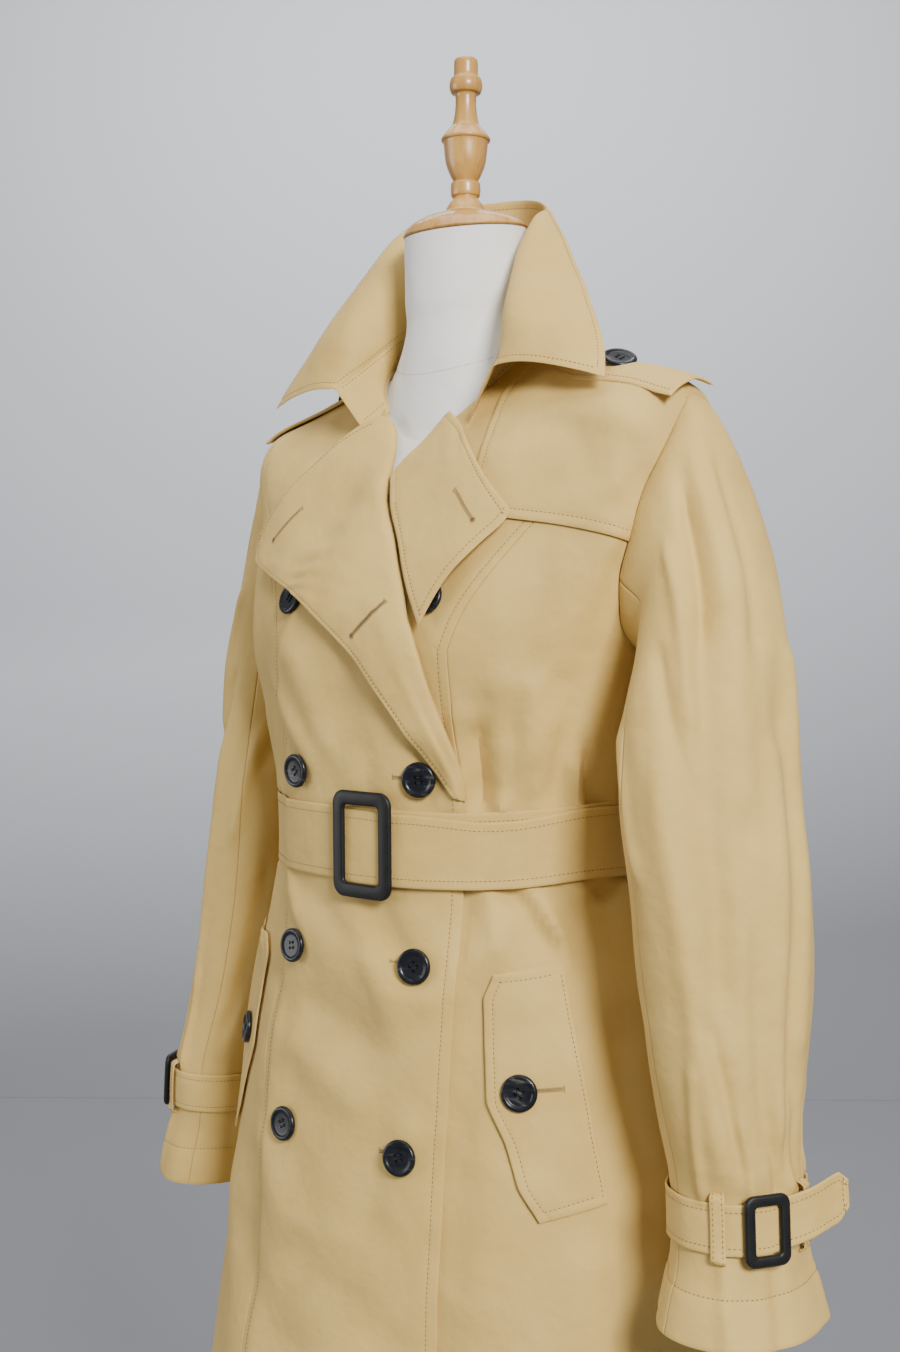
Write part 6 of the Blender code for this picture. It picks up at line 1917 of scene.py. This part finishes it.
def leather_material():
    material, tree, place = start_material("black_leather")
    grain = node(tree, "ShaderNodeTexVoronoi", {"Vector": place, "Scale": 1500.0}).outputs[0]
    wear = noise(tree, place, 120.0, 3.0)
    base = mix(tree, wear, (0.0030, 0.0030, 0.0036), (0.0095, 0.0095, 0.0105))
    return finish(material, Base_Color=base, Specular_IOR_Level=0.30,
                  Roughness=maths(tree, "MULTIPLY_ADD", wear, 0.22, 0.34),
                  Normal=bump(tree, grain, 0.25, 0.00020))


def jersey_material():
    material, tree, place = start_material("white_jersey")
    height = node(tree, "ShaderNodeSeparateXYZ", {0: place}).outputs[2]
    soft = noise(tree, place, 22.0, 4.0)
    courses = bump(tree, wave_node(tree, height, JERSEY_COURSE), 0.10, 0.00015)
    return finish(material, Base_Color=mix(tree, soft, (0.70, 0.69, 0.655), (0.80, 0.79, 0.765)),
                  Roughness=0.88, Sheen_Weight=0.3, Normal=bump(tree, soft, 0.35, 0.006, courses))


def wood_material():
    """Clear-varnished pale wood with a fine upright grain."""
    material, tree, place = start_material("varnished_wood")
    grain = noise(tree, stretched(tree, place, (190.0, 190.0, 9.0)), 1.0, 6.0, Roughness=0.62,
                  Distortion=0.7)
    figure = noise(tree, stretched(tree, place, (34.0, 34.0, 4.0)), 1.0)
    tone = maths(tree, "MULTIPLY_ADD", grain, 0.55, maths(tree, "MULTIPLY", figure, 0.45))
    base = mix(tree, spread_out(tree, tone, 0.34, 0.68), (0.33, 0.150, 0.026), (0.58, 0.325, 0.078))
    return finish(material, Base_Color=base, Roughness=0.34, Coat_Weight=0.30, Coat_Roughness=0.16,
                  Normal=bump(tree, grain, 0.08, 0.0005))


def plain_material(name, colour, rough, scale, spread):
    material, tree, place = start_material(name)
    low, high = (tuple(max(channel + more, 0.0) for channel in colour)
                 for more in (-spread, spread))
    return finish(material, Base_Color=mix(tree, noise(tree, place, scale, 3.0), low, high),
                  Roughness=rough)


# The stage


def backdrop_material():
    """Pale grey paper with painted shade: a little darker low down to the camera's right."""
    material, tree, place = start_material("backdrop_paper")
    split = node(tree, "ShaderNodeSeparateXYZ", {0: place})
    turn = math.radians(CAMERA_AZIMUTH)
    side = maths(tree, "MULTIPLY", split.outputs[0], math.cos(turn) * BACKDROP_SIDE)
    side = maths(tree, "MULTIPLY_ADD", split.outputs[1], math.sin(turn) * BACKDROP_SIDE, side)
    # painted shade: the paper darkens from its grey toward the darker grey, low down and to the
    # camera's right
    painted_shade = spread_out(tree, maths(tree, "SUBTRACT", side, split.outputs[2]), *BACKDROP_RANGE)
    return finish(material, Base_Color=mix(tree, painted_shade, BACKDROP_LIGHT, BACKDROP_DARK),
                  Roughness=0.9)


def place_object(name, data):
    piece = bpy.data.objects.new(name, data)
    bpy.context.scene.collection.objects.link(piece)
    return piece


def make_stage():
    """A pale floor, and a backdrop that sweeps up from it behind the coat."""
    turn = math.radians(CAMERA_AZIMUTH)
    across = np.array((math.cos(turn), math.sin(turn)))
    way = np.array((-math.sin(turn), math.cos(turn)))
    bend = np.radians(np.linspace(0, 90, 25))
    run = np.append(BACKDROP_AWAY - BACKDROP_BEND * (1 - np.sin(bend)), BACKDROP_AWAY)
    rise = np.append(0.0004 + BACKDROP_BEND * (1 - np.cos(bend)), BACKDROP_HEIGHT)
    wide = STAGE_HALF_WIDTH
    sweep = np.array([[(*(way * out + across * side), up) for side in (-wide, wide)]
                      for out, up in zip(run, rise)])
    square = np.array([[(x, y, 0) for x in (-wide, wide)] for y in (-wide, wide)])
    for name, grid, material in (
            ("floor", square, plain_material("pale_floor", BACKDROP_DARK, 0.8, 3, 0.006)),
            ("backdrop", sweep, backdrop_material())):
        mesh = mesh_of(name, grid.reshape(-1, 3), quads(numbered(grid)))
        mesh.materials.append(material)
        if name == "backdrop":
            mesh.shade_smooth()
        place_object(name, mesh)


def area_light(name, place, target, size, power, colour):
    light = bpy.data.lights.new(name, "AREA")
    light.shape = "RECTANGLE"
    light.size, light.size_y = size
    light.energy = power
    light.color = colour
    piece = place_object(name, light)
    piece.location = place
    piece.rotation_euler = (Vector(target) - Vector(place)).to_track_quat("-Z", "Y").to_euler()


def make_camera():
    camera = bpy.data.cameras.new("camera")
    camera.sensor_width = 36.0
    camera.sensor_fit = "AUTO"
    camera.lens = CAMERA_LENS
    camera.clip_start = 0.05
    piece = place_object("camera", camera)
    turn = math.radians(CAMERA_AZIMUTH)
    across = Vector((math.cos(turn), math.sin(turn), 0))
    piece.location = Vector((math.sin(turn) * CAMERA_AWAY, -math.cos(turn) * CAMERA_AWAY,
                             CAMERA_HEIGHT)) - across * CAMERA_SHIFT
    ahead = Vector((-math.sin(turn) * math.cos(CAMERA_PITCH),
                    math.cos(turn) * math.cos(CAMERA_PITCH), -math.sin(CAMERA_PITCH)))
    level = ahead.to_track_quat("-Z", "Y")
    piece.rotation_euler = (Quaternion(ahead, CAMERA_ROLL) @ level).to_euler()
    bpy.context.scene.camera = piece


def main():
    make_camera()
    cloth, horn, leather = cloth_material(), horn_material(), leather_material()
    shadow = plain_material("hole_shadow", (0.110, 0.070, 0.032), 0.9, 80, 0.01)
    threads = Threads("stitches")
    dark = Threads("buckle_stitches", length=0.0013, pitch=0.0019, width=0.00040, height=0.00030)
    made = make_body(cloth, threads)
    lapels = {}
    for side, rows, count, base_lift, clearance in (
            ("left", LEFT_LAPEL, 81, no_lift, clear_of_right_front),
            ("right", RIGHT_LAPEL, 125, right_front_lift, always_clear)):
        name = side + "_lapel"
        lapels[name] = lapel(side, rows, count, 42, base_lift, clearance, cloth, threads)
        made[name] = lapels[name][0]
    made["gun_flap"] = make_gun_flap(cloth, threads)
    for maker in (make_collar, make_epaulettes, make_pockets):
        made.update(maker(cloth, threads))
    for maker in (make_belt, make_sleeves):
        made.update(maker(cloth, leather, threads, dark))
    make_buttons(horn)
    whips = Threads("buttonhole_stitches", width=0.00046, height=0.00026)
    make_buttonholes(lapels, shadow, whips)
    whips.make(thread_material("pale_thread", WHIP_COLOUR))
    # the topstitching's thread, its colour darkened with painted shade of the stitch lines
    threads.make(thread_material("tan_thread_with_painted_shade", THREAD_COLOUR_WITH_PAINTED_SHADE))
    dark.make(thread_material("black_thread", (0.035, 0.034, 0.036), 0.5))
    seam = Threads("neck_seam", length=0.0024, pitch=0.0022, width=0.0007, height=0.0002)
    make_form(jersey_material(), wood_material(),
              plain_material("grey_enamel", (0.44, 0.44, 0.43), 0.42, 40, 0.015), seam)
    seam.make(thread_material("grey_thread", (0.40, 0.385, 0.35)))
    make_stage()
    for light in LIGHTS:
        area_light(*light)
    world = bpy.data.worlds.new("studio")
    world.use_nodes = True
    background = world.node_tree.nodes["Background"]
    background.inputs[0].default_value = (*WORLD_COLOUR, 1.0)
    background.inputs[1].default_value = WORLD_STRENGTH
    bpy.context.scene.world = world


main()
